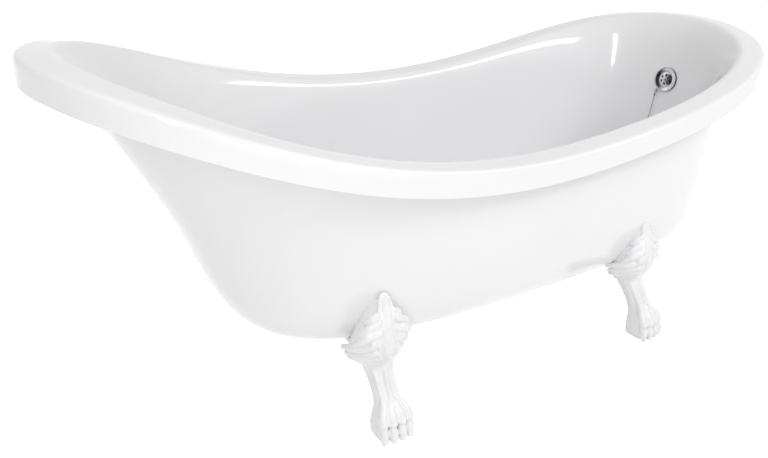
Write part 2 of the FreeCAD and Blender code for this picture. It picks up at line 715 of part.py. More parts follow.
def body_floor():
    return body_front() - OVERFLOW_BODY_DEPTH


def spigot_depth():
    return body_front() - OVERFLOW_BODY_DEPTH / 2


def overflow_screw():
    low = body_floor() + OVERFLOW_BODY_WALL
    return slotted_screw(OVERFLOW_SCREW_RADIUS, OVERFLOW_SCREW_HEAD_RADIUS, OVERFLOW_SCREW_HEAD_HEIGHT,
                         low, FACEPLATE_STAND + GRILLE_RISE)


def overflow_seal():
    return tube(OVERFLOW_BODY_RADIUS, OVERFLOW_HOLE_RADIUS, body_front() + BOND_GAP, 0)


def hose_spigot(axis, inside, reach, height):
    """A spigot along +X through the wall of a cup about an axis, and the bore that opens it."""
    solid = lying(SPIGOT_RADIUS, axis + inside - SPIGOT_WALL, reach - axis - inside + SPIGOT_WALL, height)
    bore = lying(SPIGOT_RADIUS - SPIGOT_WALL, axis, reach - axis, height)
    return solid, bore


def overflow_body():
    """Cup behind the wall, with a flange, a central screw boss and a spigot below."""
    front = body_front()
    cup = upright(OVERFLOW_CUP_RADIUS, body_floor(), front)
    cup = cup.fuse(upright(OVERFLOW_BODY_RADIUS, front - OVERFLOW_FLANGE_THICKNESS, front))
    inside = OVERFLOW_CUP_RADIUS - OVERFLOW_BODY_WALL
    spigot, bore = hose_spigot(0, inside, hose_top() + SPIGOT_LENGTH, spigot_depth())
    cup = cup.fuse(spigot)
    cup = cup.cut([upright(inside, body_floor() + OVERFLOW_BODY_WALL, front), bore])
    cup = cup.fuse(upright(OVERFLOW_BOSS_RADIUS, body_floor(), front))
    thread = OVERFLOW_SCREW_RADIUS + THREAD_CLEARANCE
    return cup.cut(upright(thread, body_floor() + OVERFLOW_BODY_WALL, front))


# ---- hose between overflow and waste ----

def rounded_route(points, largest_radius=math.inf):
    """Straight runs joined by tangent arcs: each arc takes 0.45 of the shorter run beside it."""
    corners = [FreeCAD.Vector(*point) for point in points]
    edges = []
    radii = []
    start = corners[0]
    for before, corner, after in zip(corners, corners[1:], corners[2:]):
        back = before - corner
        ahead = after - corner
        half_turn = (math.pi - back.getAngle(ahead)) / 2
        radius = min(0.45 * min(back.Length, ahead.Length) / math.tan(half_turn), largest_radius)
        first = corner + back.normalize() * (radius * math.tan(half_turn))
        last = corner + ahead.normalize() * (radius * math.tan(half_turn))
        middle = corner + (back + ahead).normalize() * (radius / math.cos(half_turn) - radius)
        edges.append(Part.LineSegment(start, first).toShape())
        edges.append(Part.Arc(first, middle, last).toShape())
        radii.append(radius)
        start = last
    edges.append(Part.LineSegment(start, corners[-1]).toShape())
    return Part.Wire(edges), radii


def pipe(points, radius, largest_radius=math.inf):
    """A round solid along a rounded route."""
    route, radii = rounded_route(points, largest_radius)
    first = FreeCAD.Vector(*points[0])
    ring = Part.Wire([Part.makeCircle(radius, first, FreeCAD.Vector(*points[1]) - first)])
    solid = route.makePipeShell([ring], True, False)
    print("route %.0f mm, volume / (section x length) %.4f, radii %s" % (
        route.Length, solid.Volume / (math.pi * radius ** 2 * route.Length),
        " ".join("%.0f" % value for value in radii)))
    return solid


def hose_bore():
    return SPIGOT_RADIUS + BOND_GAP


def hose_top():
    """Along the spigot's axis, where the hose stops short of the overflow's flange."""
    return OVERFLOW_BODY_RADIUS + BOND_GAP


def hose_end():
    """Where the hose's lower end stops short of the waste body."""
    return FreeCAD.Vector(WASTE_X + WASTE_BODY_RADIUS + BOND_GAP, 0, waste_body_top() - WASTE_SPIGOT_DROP)


def overflow_hose(frame):
    """From the overflow's spigot down between the shells to the waste's spigot."""
    start = frame.multVec(FreeCAD.Vector(hose_top(), 0, spigot_depth()))
    below = frame.multVec(FreeCAD.Vector(hose_top() + HOSE_DROP, 0, spigot_depth()))
    end = hose_end()
    points = [start, below, FreeCAD.Vector(below.x, 0, end.z), end]
    inner = pipe(points, hose_bore(), HOSE_BEND)
    return pipe(points, hose_bore() + HOSE_WALL, HOSE_BEND).cut(inner)


def hose_clips(frame):
    inside = hose_bore() + HOSE_WALL + BOND_GAP
    clip = lying(inside + CLIP_WALL, CLIP_SETBACK, CLIP_WIDTH).cut(lying(inside, CLIP_SETBACK, CLIP_WIDTH))
    upper = clip.copy()
    upper.translate(FreeCAD.Vector(hose_top(), 0, spigot_depth()))
    clip.translate(hose_end())
    return [in_frame(upper, frame), clip]


# ---- waste ----

def waste_body_top():
    return basin_underside() - WASTE_SEAL_THICKNESS - 2 * BOND_GAP


def waste_body_floor():
    return waste_body_top() - WASTE_BODY_DEPTH


def flange_top():
    return floor_height(WASTE_X) + BOND_GAP + FLANGE_THICKNESS


def spigot_foot():
    return waste_body_top() - FLANGE_SPIGOT_REACH


def waste_flange():
    """Dished ring on the bath floor, its spigot, and the strainer bars with a boss for the screw."""
    top = flange_top()
    low = spigot_foot()
    seat = top - 2 * FLANGE_THICKNESS
    ring = turned_profile([
        (FLANGE_THROAT_RADIUS, low), (FLANGE_SPIGOT_RADIUS, low), (FLANGE_SPIGOT_RADIUS, seat),
        (FLANGE_RADIUS, seat), (FLANGE_RADIUS, top - FLANGE_BEVEL), (FLANGE_RADIUS - FLANGE_BEVEL, top),
        (FLANGE_THROAT_RADIUS + FLANGE_BEVEL, top), (FLANGE_THROAT_RADIUS, top - FLANGE_BEVEL),
    ], WASTE_X)
    bars = [upright(STRAINER_BOSS_RADIUS, low, low + STRAINER_BAR, WASTE_X)]
    reach = (FLANGE_THROAT_RADIUS + FLANGE_SPIGOT_RADIUS) / 2
    corner = FreeCAD.Vector(-reach, -STRAINER_BAR / 2, 0)
    for index in range(STRAINER_BARS):
        bar = Part.makeBox(2 * reach, STRAINER_BAR, STRAINER_BAR, corner)
        turn = FreeCAD.Rotation(Z_AXIS, 180 * index / STRAINER_BARS)
        bar.Placement = FreeCAD.Placement(FreeCAD.Vector(WASTE_X, 0, low), turn)
        bars.append(bar)
    hole = upright(WASTE_SCREW_RADIUS + BOLT_CLEARANCE, low, low + STRAINER_BAR, WASTE_X)
    return ring.fuse(bars).cut(hole)


def bridge_top():
    return waste_body_floor() + WASTE_BODY_WALL + WASTE_BRIDGE_HEIGHT


def waste_screw():
    return slotted_screw(WASTE_SCREW_RADIUS, WASTE_SCREW_HEAD_RADIUS, WASTE_SCREW_HEAD_HEIGHT,
                         bridge_top() - WASTE_BRIDGE_HEIGHT, spigot_foot() + STRAINER_BAR, WASTE_X)


def waste_seal():
    low = waste_body_top() + BOND_GAP
    return tube(WASTE_BODY_RADIUS, FLANGE_SPIGOT_RADIUS + BOND_GAP, low, low + WASTE_SEAL_THICKNESS, WASTE_X)


def waste_body():
    """Cup under the bath floor with a screw bridge, a spigot for the hose and a threaded outlet."""
    top = waste_body_top()
    floor = waste_body_floor()
    inside = WASTE_BODY_RADIUS - WASTE_BODY_WALL
    end = hose_end()
    spigot, bore = hose_spigot(WASTE_X, inside, end.x + SPIGOT_LENGTH, end.z)
    cup = upright(WASTE_BODY_RADIUS, floor, top, WASTE_X)
    cup = cup.fuse([upright(OUTLET_RADIUS, floor - OUTLET_LENGTH, floor, WASTE_X), spigot])
    cup = cup.cut([upright(inside, floor + WASTE_BODY_WALL, top, WASTE_X), bore,
                   upright(OUTLET_BORE_RADIUS, floor - OUTLET_LENGTH, top, WASTE_X)])
    span = 2 * inside + WASTE_BODY_WALL
    bridge = Part.makeBox(span, WASTE_BRIDGE_WIDTH, WASTE_BRIDGE_HEIGHT, FreeCAD.Vector(
        WASTE_X - span / 2, -WASTE_BRIDGE_WIDTH / 2, bridge_top() - WASTE_BRIDGE_HEIGHT))
    cup = cup.fuse(bridge)
    return cup.cut(upright(WASTE_SCREW_RADIUS + THREAD_CLEARANCE, floor, top, WASTE_X))


# ---- plug and chain ----

def plug_seat():
    return flange_top() + BOND_GAP


def plug_stopper():
    seat = plug_seat()
    return turned_profile([
        (0, seat - PLUG_DEPTH), (PLUG_RADIUS - PLUG_TAPER, seat - PLUG_DEPTH),
        (PLUG_RADIUS, seat - PLUG_LIP), (PLUG_RADIUS, seat), (0, seat),
    ], WASTE_X)


def plug_eye():
    """The middle of the hole in the plug's lug."""
    return FreeCAD.Vector(WASTE_X, 0, plug_seat() + PLUG_CAP_THICKNESS + PLUG_EYE_RISE)


def plug_cap():
    """Domed cap moulded on the stopper, with a lug for the ring."""
    seat = plug_seat()
    top = seat + PLUG_CAP_THICKNESS
    cap = turned_profile([
        (0, seat), (PLUG_CAP_RADIUS, seat), (PLUG_CAP_RADIUS, seat + PLUG_CAP_EDGE),
        (PLUG_CAP_RADIUS - PLUG_CAP_EDGE, top - PLUG_CAP_EDGE / 2), (PLUG_CAP_RADIUS / 2, top), (0, top),
    ], WASTE_X)
    eye = plug_eye()
    cheek = eye - FreeCAD.Vector(0, PLUG_LUG_THICKNESS / 2, 0)
    post = Part.makeBox(PLUG_LUG_LENGTH, PLUG_LUG_THICKNESS, eye.z - seat,
                        FreeCAD.Vector(eye.x - PLUG_LUG_LENGTH / 2, cheek.y, seat))
    head = Part.makeCylinder(PLUG_LUG_LENGTH / 2, PLUG_LUG_THICKNESS, cheek, Y_AXIS)
    hole = Part.makeCylinder(RING_WIRE + BOLT_CLEARANCE, PLUG_LUG_THICKNESS, cheek, Y_AXIS)
    return cap.fuse([post, head]).cut(hole)


def ring_reach():
    """From the lug's hole to the middle of the ring."""
    dip = math.radians(RING_DIP)
    return FreeCAD.Vector(math.cos(dip), 0, -math.sin(dip)) * RING_RADIUS


def plug_ring():
    reach = ring_reach()
    return Part.makeTorus(RING_RADIUS, RING_WIRE, plug_eye() + reach, reach.cross(Y_AXIS))


def stay_ring():
    centre = stay_hole() + X_AXIS * STAY_RING_RADIUS
    return Part.makeTorus(STAY_RING_RADIUS, STAY_RING_WIRE, centre, Y_AXIS)


def clasp(loop, along, loop_axis):
    """A loop closed round a ring, and the barrel that holds the chain's last bead."""
    barrel = Part.makeCylinder(CLASP_RADIUS, CLASP_LENGTH, loop + along * CLASP_LOOP_RADIUS, along)
    return barrel.fuse(Part.makeTorus(CLASP_LOOP_RADIUS, CLASP_LOOP_WIRE, loop, loop_axis))


def stay_clasp():
    return clasp(stay_hole() + X_AXIS * 2 * STAY_RING_RADIUS, X_AXIS, Z_AXIS)


def plug_clasp():
    return clasp(plug_eye() + ring_reach() * 2, X_AXIS, Y_AXIS)


# ---- all pieces ----

def save_feet(seat):
    """The four feet and, as one group each, what bolts them on."""
    casting = foot_casting()
    names = ("foot_bolts", "foot_washers", "foot_inserts", "mounting_blocks")
    groups = {name: [] for name in names}
    fixings = foot_fixings()
    for node, x, y, heading in foot_places():
        save(placed(casting, x, y, heading).cut(seat), node)
        for name, shapes in zip(names, fixings):
            groups[name] += [placed(shape, x, y, heading) for shape in shapes]
    for name, shapes in groups.items():
        save(Part.Compound(shapes), name)


def save_overflow(frame, clear):
    save(largest_solid(in_frame(overflow_faceplate(), frame).cut(clear)), "overflow_faceplate")
    save(in_frame(overflow_screw(), frame), "overflow_screw")
    save(largest_solid(in_frame(overflow_seal(), frame).cut(clear)), "overflow_seal")
    save(in_frame(overflow_body(), frame), "overflow_body")
    save(overflow_hose(frame), "overflow_hose")
    save(Part.Compound(hose_clips(frame)), "hose_clips")
    save(in_frame(stay_ring(), frame), "stay_ring")
    save(in_frame(stay_clasp(), frame), "stay_clasp")


def main():
    os.makedirs("parts", exist_ok=True)
    wetted_rows = basin_rows()
    outer_rows = skin_rows()
    frame = overflow_frame(ring_face(wetted_rows, 3))
    clear = fittings_clearance(wetted_rows)

    basin = basin_shell(wetted_rows, BASIN_WALL, basin_underside())
    overflow_hole = in_frame(upright(OVERFLOW_HOLE_RADIUS, 2 * body_front(), FACEPLATE_STAND), frame)
    waste_hole = upright(WASTE_HOLE_RADIUS, waste_body_top(), flange_top(), WASTE_X)
    save(basin.cut([overflow_hole, waste_hole]), "inner_basin")
    save(skin_with_holes(skin_shell(outer_rows)), "outer_skin")
    save(base_board(), "base_board")
    save_feet(skin_body(outer_rows, BOND_GAP))
    save_overflow(frame, clear)

    flange_seat = clear.cut(upright(WASTE_HOLE_RADIUS - BOND_GAP, waste_body_top(), flange_top(), WASTE_X))
    save(waste_flange().cut(flange_seat), "waste_flange")
    save(waste_screw(), "waste_screw")
    save(waste_seal(), "waste_seal")
    save(waste_body(), "waste_body")
    save(plug_stopper(), "plug_stopper")
    save(plug_cap(), "plug_cap")
    save(plug_ring(), "plug_ring")
    save(plug_clasp(), "plug_clasp")
    save(pipe(CHAIN_ROUTE, CHAIN_RADIUS), "plug_chain")


main()
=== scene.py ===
import math
import bmesh
import bpy
import numpy as np
from mathutils import Matrix, Vector


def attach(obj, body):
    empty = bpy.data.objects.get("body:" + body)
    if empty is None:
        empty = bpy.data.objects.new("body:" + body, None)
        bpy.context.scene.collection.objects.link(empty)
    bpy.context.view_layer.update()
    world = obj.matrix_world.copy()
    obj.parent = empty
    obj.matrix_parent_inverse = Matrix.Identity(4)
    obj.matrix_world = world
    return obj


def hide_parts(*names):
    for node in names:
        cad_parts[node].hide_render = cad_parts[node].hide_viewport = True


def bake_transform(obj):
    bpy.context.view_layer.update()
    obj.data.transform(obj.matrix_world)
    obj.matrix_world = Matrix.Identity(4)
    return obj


# Looks of a freestanding slipper bath on four claw feet: +X towards the drain end, +Z up, origin on the
# floor under the bath's middle. Sizes are in millimetres, as in the part's own source, unless a comment
# or a setting's unit says otherwise.

bl_info = {
    "name": "Clawfoot Slipper Bath",
    "version": (1, 0, 0),
    "blender": (4, 5, 0),
    "location": "View3D > Sidebar > Bath",
    "description": "Models and finishes a slipper bath on claw feet over its packed CAD model",
    "category": "Object",
}

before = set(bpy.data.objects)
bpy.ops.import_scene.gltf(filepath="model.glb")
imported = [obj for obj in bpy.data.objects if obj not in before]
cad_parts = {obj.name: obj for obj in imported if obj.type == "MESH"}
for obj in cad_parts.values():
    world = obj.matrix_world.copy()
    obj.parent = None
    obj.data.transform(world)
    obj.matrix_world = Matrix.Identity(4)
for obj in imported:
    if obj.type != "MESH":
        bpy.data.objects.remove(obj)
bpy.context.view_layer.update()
MM = 0.001

# ---- photograph and studio, in metres unless said otherwise ----
PHOTO_WIDTH = 768               # pixels
SENSOR_WIDTH = 36.0             # millimetres
FLOOR_SIZE = 60.0
FLOOR_CUTS = 4
# Each lamp's width and height, its place and the point that it faces.
KEY_LAMP = ((1.8, 0.7), (1.1, -1.8, 2.3), (0.0, 0.0, 0.4))
STRIP_LAMP = ((0.25, 2.2), (-1.8, -1.6, 1.9), (0.0, 0.0, 0.4))
LOW_FILL_LAMP = ((3.2, 0.8), (-0.3, -2.6, 0.4), (0.0, 0.0, 0.2))

# ---- how finely pieces are drawn ----
# Loops to each span between two control rows, and points to each span round a ring.
BASIN_STEPS = (8, 6)
SKIN_STEPS = (26, 6)
HULL_STEPS = (14, 3)
COLUMN_STEPS = (5, 1)
SECTION_POINTS = 40             # round a leg or heel
PLATE_POINTS = 96               # round the faceplate and the flange
PLUG_POINTS = 80
SMALL_POINTS = 40               # round lugs and the grille's holes
BOSS_POINTS = 48                # round the screw, the strainer's boss and plain cutters
CLASP_POINTS = 32               # round a clasp and the hole in the plug's lug
HOOP_POINTS = 48
WIRE_POINTS = 12                # round the wire of a hoop
KNOB_GRID = (16, 10)            # round and up the ball at a ridge's end
BEAD_GRID = (12, 8)
EDGE_STEPS = 3                  # faces across a bevelled edge
SHELL_CREASE = 40.0             # degrees past which an edge stays sharp
FOOT_CREASE = 50.0
FITTING_CREASE = 32.0
WIRE_CREASE = 60.0
BEAD_CREASE = 80.0
CORNER_SHARE = 0.45             # most of a side that a rounded corner takes
AXIS_RADIUS = 1e-5              # millimetres; stands for a turned section's axis
AXIS_GAP = 2e-6                 # closer points at the axis become one, in metres
TURN_SLACK = 1e-4               # radians, so that the first point of a circle doesn't count as its last

# ---- rolled rim, seen from above ----
HEAD_ROUNDNESS = 1.75
DRAIN_ROUNDNESS = 1.87
OUTLINE_SKEW = -0.04
OUTLINE_SHOULDER = 0.72
OUTLINE_TWIST = 0.08
RIM_HEIGHTS = (701.0, 616.0, 542.0, 521.0, 547.0, 605.0, 677.0)
ROLL_CORNER = 16.0
SKIRT_DEPTH = 49.0
RING_POINTS = 48                # control points round each ring of the shells
BOND_GAP = 0.3

# ---- outer skin: three values stand for (head end, side, drain end) ----
GROUND_CLEARANCE = 155.0
# Head end, drain end, width, roundness at the head end and at the drain end.
SKIN_BOTTOM = (-478.0, 680.0, 448.0, 3.6, 2.67)
SKIN_LEDGE_DROP = 44.0
SKIN_LEDGE_INSET = (70.0, 33.0, 72.0)
SKIN_WAIST_INSET = (91.0, 35.0, 97.0)
SKIN_WAIST_DROP = 90.0
SKIN_FOOT_REACH = (0.30, 0.45, 1.18)
SKIN_WALL_LIFT = (0.41, 0.35, 0.18)
SKIN_WALL_SWELL = (-51.0, 15.0, 10.0)
ACCESS_RADIUS = 62.0
ACCESS_CUT = (-10.0, 15.0)      # from the skin's bottom

# ---- inner basin: three values stand for (head end, side, drain end) ----
FLOOR_HEIGHT = 205.5
FLOOR_FALL = 7.0
# Head end, drain end, width, roundness at the head end and at the drain end.
BASIN_FLOOR = (-410.0, 590.0, 350.0, 2.8, 2.8)
BASIN_SHOULDER_INSET = (126.0, 72.0, 121.0)
BASIN_SHOULDER_DROP = (78.0, 42.0, 76.0)
BASIN_FOOT_REACH = (0.30, 0.50, 0.62)
BASIN_WALL_LIFT = (0.42, 0.34, 0.30)
BASIN_WALL_SWELL = (-42.0, 12.0, 12.0)
BASIN_BEAD_INSET = 9.0          # from the roll's inner edge to the start of the shoulder
BASIN_BEAD_DROP = 14.0
ROLL_CROWN_INSET = 6.0
ROLL_CROWN_RISE = 1.5
ROLL_CORNER_RISE = 0.5
ROLL_CORNER_DROP = 4.0
SKIRT_TURN = 8.0

# ---- overflow: a section's points are offsets outwards and upwards ----
OVERFLOW_HEIGHT = 515.0
OVERFLOW_HOLE_RADIUS = 22.0
OVERFLOW_CUT = (-15.0, 8.0)     # along the overflow's axis
FACEPLATE_STAND = 7.0
FACEPLATE_SKIRT = 3.0
FACEPLATE_SHEET = 1.4
FACEPLATE_DISH = 4.0
FACEPLATE_EASE = 1.4
FACEPLATE_ROLL = ((0.0, -1.8), (-2.0, 0.0), (-6.5, -0.2))    # from the plate's outside, at its stand
DISH_EDGE = ((-11.5, 0.6),)                                  # from the plate's outside, at its dish
GRILLE_FOOT = ((1.6, 0.0), (0.0, 0.0), (-2.0, 2.4))          # from the grille's outside, at its dish
GRILLE_DOME = ((0.62, 0.0), (0.3, 0.9))                      # share of its radius, rise over its stand
GRILLE_RADIUS = 19.0
GRILLE_CROWN = 1.0
GRILLE_EYE_RADIUS = 3.4
GRILLE_HOLES = 6
GRILLE_HOLE_RADIUS = 3.6
GRILLE_HOLE_CIRCLE = 11.5
GRILLE_CUT = (-6.0, 4.0)        # from the wall, and from the stand
SCREW_RADIUS = 5.0
SCREW_HEIGHT = 2.4
SCREW_SLOT = 1.2
SCREW_SINK = 0.6
SCREW_SHOULDER = 0.55           # share of the height
SCREW_CROWN = 0.72              # share of the radius
SCREW_EASE = 0.7
SCREW_CREASE = 30.0
STAY_ANGLE = 30.0
STAY_REACH = 2.5
STAY_LUG_RADIUS = 3.6
STAY_EYE_RADIUS = 1.5
STAY_LUG_DEPTH = 2.0
STAY_LUG_EASE = 0.4
STAY_RING_RADIUS = 4.0
STAY_RING_WIRE = 0.8
CLASP_LOOP_RADIUS = 2.5
CLASP_LOOP_WIRE = 0.7
CLASP_RADIUS = 2.4
CLASP_LENGTH = 8.0
CLASP_CHAMFER = 1.2
CLASP_MOUTH = 0.7               # share of the radius at the loop's end
CLASP_TAIL = 0.75               # and at the chain's end
CLASP_EASE = 0.5
CLASP_CREASE = 50.0

# ---- waste and plug ----
WASTE_X = 500.0
WASTE_HOLE_RADIUS = 26.0
WASTE_CUT = (190.0, 220.0)      # heights
FLANGE_RADIUS = 35.0
FLANGE_SEAT = 0.6               # how far the flange's underside is let into the floor
FLANGE_EDGE = ((0.0, -1.3), (-1.6, 0.0))                     # from the flange's outside, at its top
FLANGE_MOUTH = ((2.4, -0.2), (0.0, -2.6))                    # from its throat, at its top
FLANGE_EASE = 0.9
FLANGE_THICKNESS = 2.4
FLANGE_THROAT_RADIUS = 22.0
FLANGE_SPIGOT_RADIUS = 24.5
SPIGOT_FOOT = 184.9             # underside of the flange's spigot, which carries the strainer
STRAINER_BARS = 3
STRAINER_BAR = 4.0
STRAINER_EASE = 0.8
STRAINER_BOSS_RADIUS = 8.0
STRAINER_BOSS_EASE = 0.7
PLUG_RADIUS = 21.7
PLUG_TAPER = 1.4
PLUG_DEPTH = 14.0
PLUG_TIP = 1.0
PLUG_LIP = ((-0.5, -6.0), (-0.9, -5.0), (0.0, -3.6), (0.0, 0.0))     # from the plug's outside, at its top
PLUG_EASE = 0.6
PLUG_CAP_RADIUS = 24.0
PLUG_CAP_THICKNESS = 5.0
PLUG_CAP_EDGE = ((0.0, 0.0), (0.0, 1.6), (-1.8, 3.0))        # from the cap's outside, at its underside
PLUG_CAP_DOME = ((0.7, -0.7), (0.35, 0.0))                   # share of its radius, rise over its top
PLUG_CAP_EASE = 1.1
PLUG_EYE_RISE = 3.0
PLUG_EYE_RADIUS = 1.6
PLUG_EYE_CUT = (-4.0, 4.0)
PLUG_LUG_LENGTH = 7.0
PLUG_LUG_THICKNESS = 2.4
PLUG_LUG_LIFT = 0.2
PLUG_LUG_EASE = 0.5
PLUG_LUG_CREASE = 40.0
RING_RADIUS = 12.5
RING_WIRE = 1.1
RING_DIP = 5.0

# Route of the bead chain, from the clasp at the overflow to the clasp at the plug, in metres.
CHAIN_ROUTE = (
    (0.7105, 0.0192, 0.4643),
    (0.7078, 0.0190, 0.4200),
    (0.7014, 0.0240, 0.3700),
    (0.6939, 0.0255, 0.3180),
    (0.6828, 0.0280, 0.2710),
    (0.6660, 0.0270, 0.2380),
    (0.6370, 0.0230, 0.2156),
    (0.6000, 0.0120, 0.2084),
    (0.5680, 0.0030, 0.2100),
    (0.5360, 0.0000, 0.2149),
)

# ---- feet, about the heel line with +X outwards: every table is in millimetres ----
# Sections of the leg with its knee, from below: height, centre outwards, depth, width, squareness.
LEG_SECTIONS = (
    (30.0, 18.0, 50.0, 60.0, 2.6),
    (46.0, 11.0, 50.0, 53.0, 2.2),
    (70.0, -1.0, 50.0, 47.0, 2.1),
    (90.0, -17.0, 53.0, 48.0, 2.1),
    (110.0, -32.0, 59.0, 54.0, 2.1),
    (128.0, -43.0, 66.0, 66.0, 2.2),
    (142.0, -44.0, 78.0, 92.0, 2.2),
    (158.0, -41.0, 86.0, 108.0, 2.2),
    (182.0, -38.0, 84.0, 110.0, 2.2),
    (206.0, -35.0, 76.0, 96.0, 2.2),
    (230.0, -34.0, 66.0, 72.0, 2.1),
    (252.0, -36.0, 54.0, 44.0, 2.0),
    (270.0, -37.0, 42.0, 24.0, 2.0),
)
# The same for the heel.
HEEL_SECTIONS = (
    (0.0, 22.0, 46.0, 66.0, 5.0),
    (3.0, 22.0, 50.0, 70.0, 5.0),
    (20.0, 20.0, 51.0, 71.0, 4.6),
    (36.0, 16.0, 50.0, 68.0, 3.6),
    (47.0, 11.0, 48.0, 58.0, 2.5),
    (58.0, 6.0, 47.0, 50.0, 2.2),
)
# The same for the raised shield on the knee's front.
SHIELD_SECTIONS = (
    (147.0, -12.0, 12.0, 6.0, 2.0),
    (152.0, -8.0, 18.0, 16.0, 2.2),
    (161.0, -3.0, 22.0, 25.0, 2.5),
    (178.0, -1.0, 24.0, 28.0, 2.6),
    (200.0, -4.0, 24.0, 26.0, 2.6),
    (224.0, -11.0, 24.0, 23.0, 2.5),
    (250.0, -18.0, 24.0, 21.0, 2.4),
    (268.0, -22.0, 22.0, 19.0, 2.2),
    (278.0, -25.0, 18.0, 14.0, 2.1),
)
# Ridges of one side, mirrored to the other: (outwards, sideways, height, radius) along each.
SIDE_RIDGES = (
    ((-12.0, 9.0, 148.0, 3.4), (-3.0, 15.0, 156.0, 4.0), (3.0, 19.0, 176.0, 4.4),
     (1.0, 18.5, 204.0, 4.4), (-8.0, 17.0, 232.0, 4.2), (-17.0, 14.0, 256.0, 3.8),
     (-24.0, 9.0, 276.0, 3.2)),
    ((-12.0, 18.0, 252.0, 4.5), (-14.0, 26.0, 246.0, 6.5), (-19.0, 33.0, 238.0, 6.5),
     (-27.0, 37.0, 228.0, 4.5)),
    ((-6.0, 20.0, 236.0, 7.5), (-7.0, 33.0, 231.0, 8.5), (-13.0, 43.0, 221.0, 8.5),
     (-25.0, 49.0, 209.0, 5.0)),
    ((-3.0, 20.0, 216.0, 8.5), (-4.0, 36.0, 213.0, 9.5), (-11.0, 49.0, 204.0, 9.5),
     (-20.0, 55.0, 194.0, 7.0), (-30.0, 56.0, 186.0, 4.5)),
    ((-2.0, 20.0, 194.0, 9.0), (-5.0, 34.0, 190.0, 9.5), (-18.0, 46.0, 181.0, 9.5),
     (-42.0, 56.0, 171.0, 8.0), (-66.0, 60.0, 161.0, 5.0)),
    ((-2.0, 19.0, 175.0, 8.5), (-7.0, 31.0, 171.0, 8.0), (-22.0, 42.0, 163.0, 8.0),
     (-44.0, 52.0, 155.0, 7.0), (-60.0, 56.0, 150.0, 4.5)),
    ((-5.0, 16.0, 160.0, 7.5), (-12.0, 27.0, 156.0, 7.5), (-27.0, 38.0, 150.0, 7.5),
     (-46.0, 48.0, 144.0, 6.0), (-60.0, 51.0, 140.0, 4.0)),
    ((-13.0, 13.0, 149.0, 4.5), (-20.0, 23.0, 145.0, 6.5), (-34.0, 33.0, 140.0, 6.5),
     (-52.0, 41.0, 135.0, 4.5)),
    ((-20.0, 12.0, 138.0, 4.0), (-28.0, 20.0, 134.0, 5.0), (-40.0, 28.0, 129.0, 5.0),
     (-54.0, 34.0, 126.0, 3.5)),
    ((1.0, 27.0, 203.0, 4.5), (2.0, 34.0, 197.0, 6.0), (-1.0, 36.0, 189.0, 6.0),
     (-4.0, 31.0, 183.0, 5.0)),
    ((-20.0, 6.0, 266.0, 3.2), (-24.0, 9.0, 273.0, 3.2), (-27.0, 6.0, 280.0, 3.2),
     (-28.0, 0.0, 282.0, 3.2)),
    ((25.0, 17.0, 64.0, 4.5), (8.0, 16.5, 86.0, 4.5), (-10.0, 17.0, 108.0, 5.0),
     (-20.0, 20.0, 128.0, 5.5)),
)
# Down the middle of the leg's front.
FRONT_RIDGE = ((30.0, 0.0, 66.0, 4.5), (16.0, 0.0, 82.0, 4.5), (0.0, 0.0, 104.0, 5.0),
               (-11.0, 0.0, 128.0, 6.0), (-12.0, 0.0, 148.0, 5.0))
TOE_SIDES = (-28.0, -9.4, 9.4, 28.0)
TOE_LEAD = 4.0                  # how far the two middle toes reach past the outer ones
# One toe from the leg to its claw: (outwards, share of its sideways place, height, radius).
TOE_RIDGE = ((16.0, 0.55, 70.0, 7.0), (28.0, 0.8, 60.0, 8.8), (39.0, 0.97, 49.0, 10.2),
             (44.0, 1.0, 40.0, 9.6))
TOE_TIP = ((44.0, 1.0, 30.0, 7.8), (49.0, 1.02, 21.0, 9.6), (51.0, 1.02, 9.0, 8.0),
           (52.0, 1.02, 3.0, 6.2))
PAD_BOX = (-163.0, -15.0, 66.0, 12.0)       # inner end, outer end, width, thickness
FLOOR_CUTTER = (400.0, 400.0, 60.0)
SMOOTHING = 0.5                 # how far one round of smoothing goes
SMOOTHING_ROUNDS = 5


# ---- sizes and colours that a user would change ----

def size_property(title, words, default):
    return bpy.props.FloatProperty(name=title, description=words, default=default, unit="LENGTH",
                                   precision=4)


def colour_property(title, words, default):
    return bpy.props.FloatVectorProperty(name=title, description=words, default=default, size=3,
                                         min=0.0, max=1.0, subtype="COLOR")


def share_property(title, words, default):
    return bpy.props.FloatProperty(name=title, description=words, default=default, min=0.0, max=1.0,
                                   subtype="FACTOR")


def strength_property(title, words, default):
    return bpy.props.FloatProperty(name=title, description=words, default=default, min=0.0)


def power_property(title, words, default):
    return bpy.props.FloatProperty(name=title, description=words, default=default, min=0.0, unit="POWER")


def turn_property(title, words, default):
    return bpy.props.FloatProperty(name=title, description=words, default=default, subtype="ANGLE",
                                   unit="ROTATION")


class BathShellSettings(bpy.types.PropertyGroup):
    length: size_property("Length", "Over the roll, head end to drain end", 1.7)
    width: size_property("Width", "Over the roll, at mid length", 0.694)
    roll_width: size_property("Roll width", "Flat crown of the roll and its outer corner", 0.061)
    wall: size_property("Wall", "Thickness of the inner shell and of the outer skin", 0.005)
    colour: colour_property("Acrylic", "Colour of both shells", (0.885, 0.88, 0.89))
    roughness: share_property("Roughness", "How soft reflections in the acrylic are", 0.1)


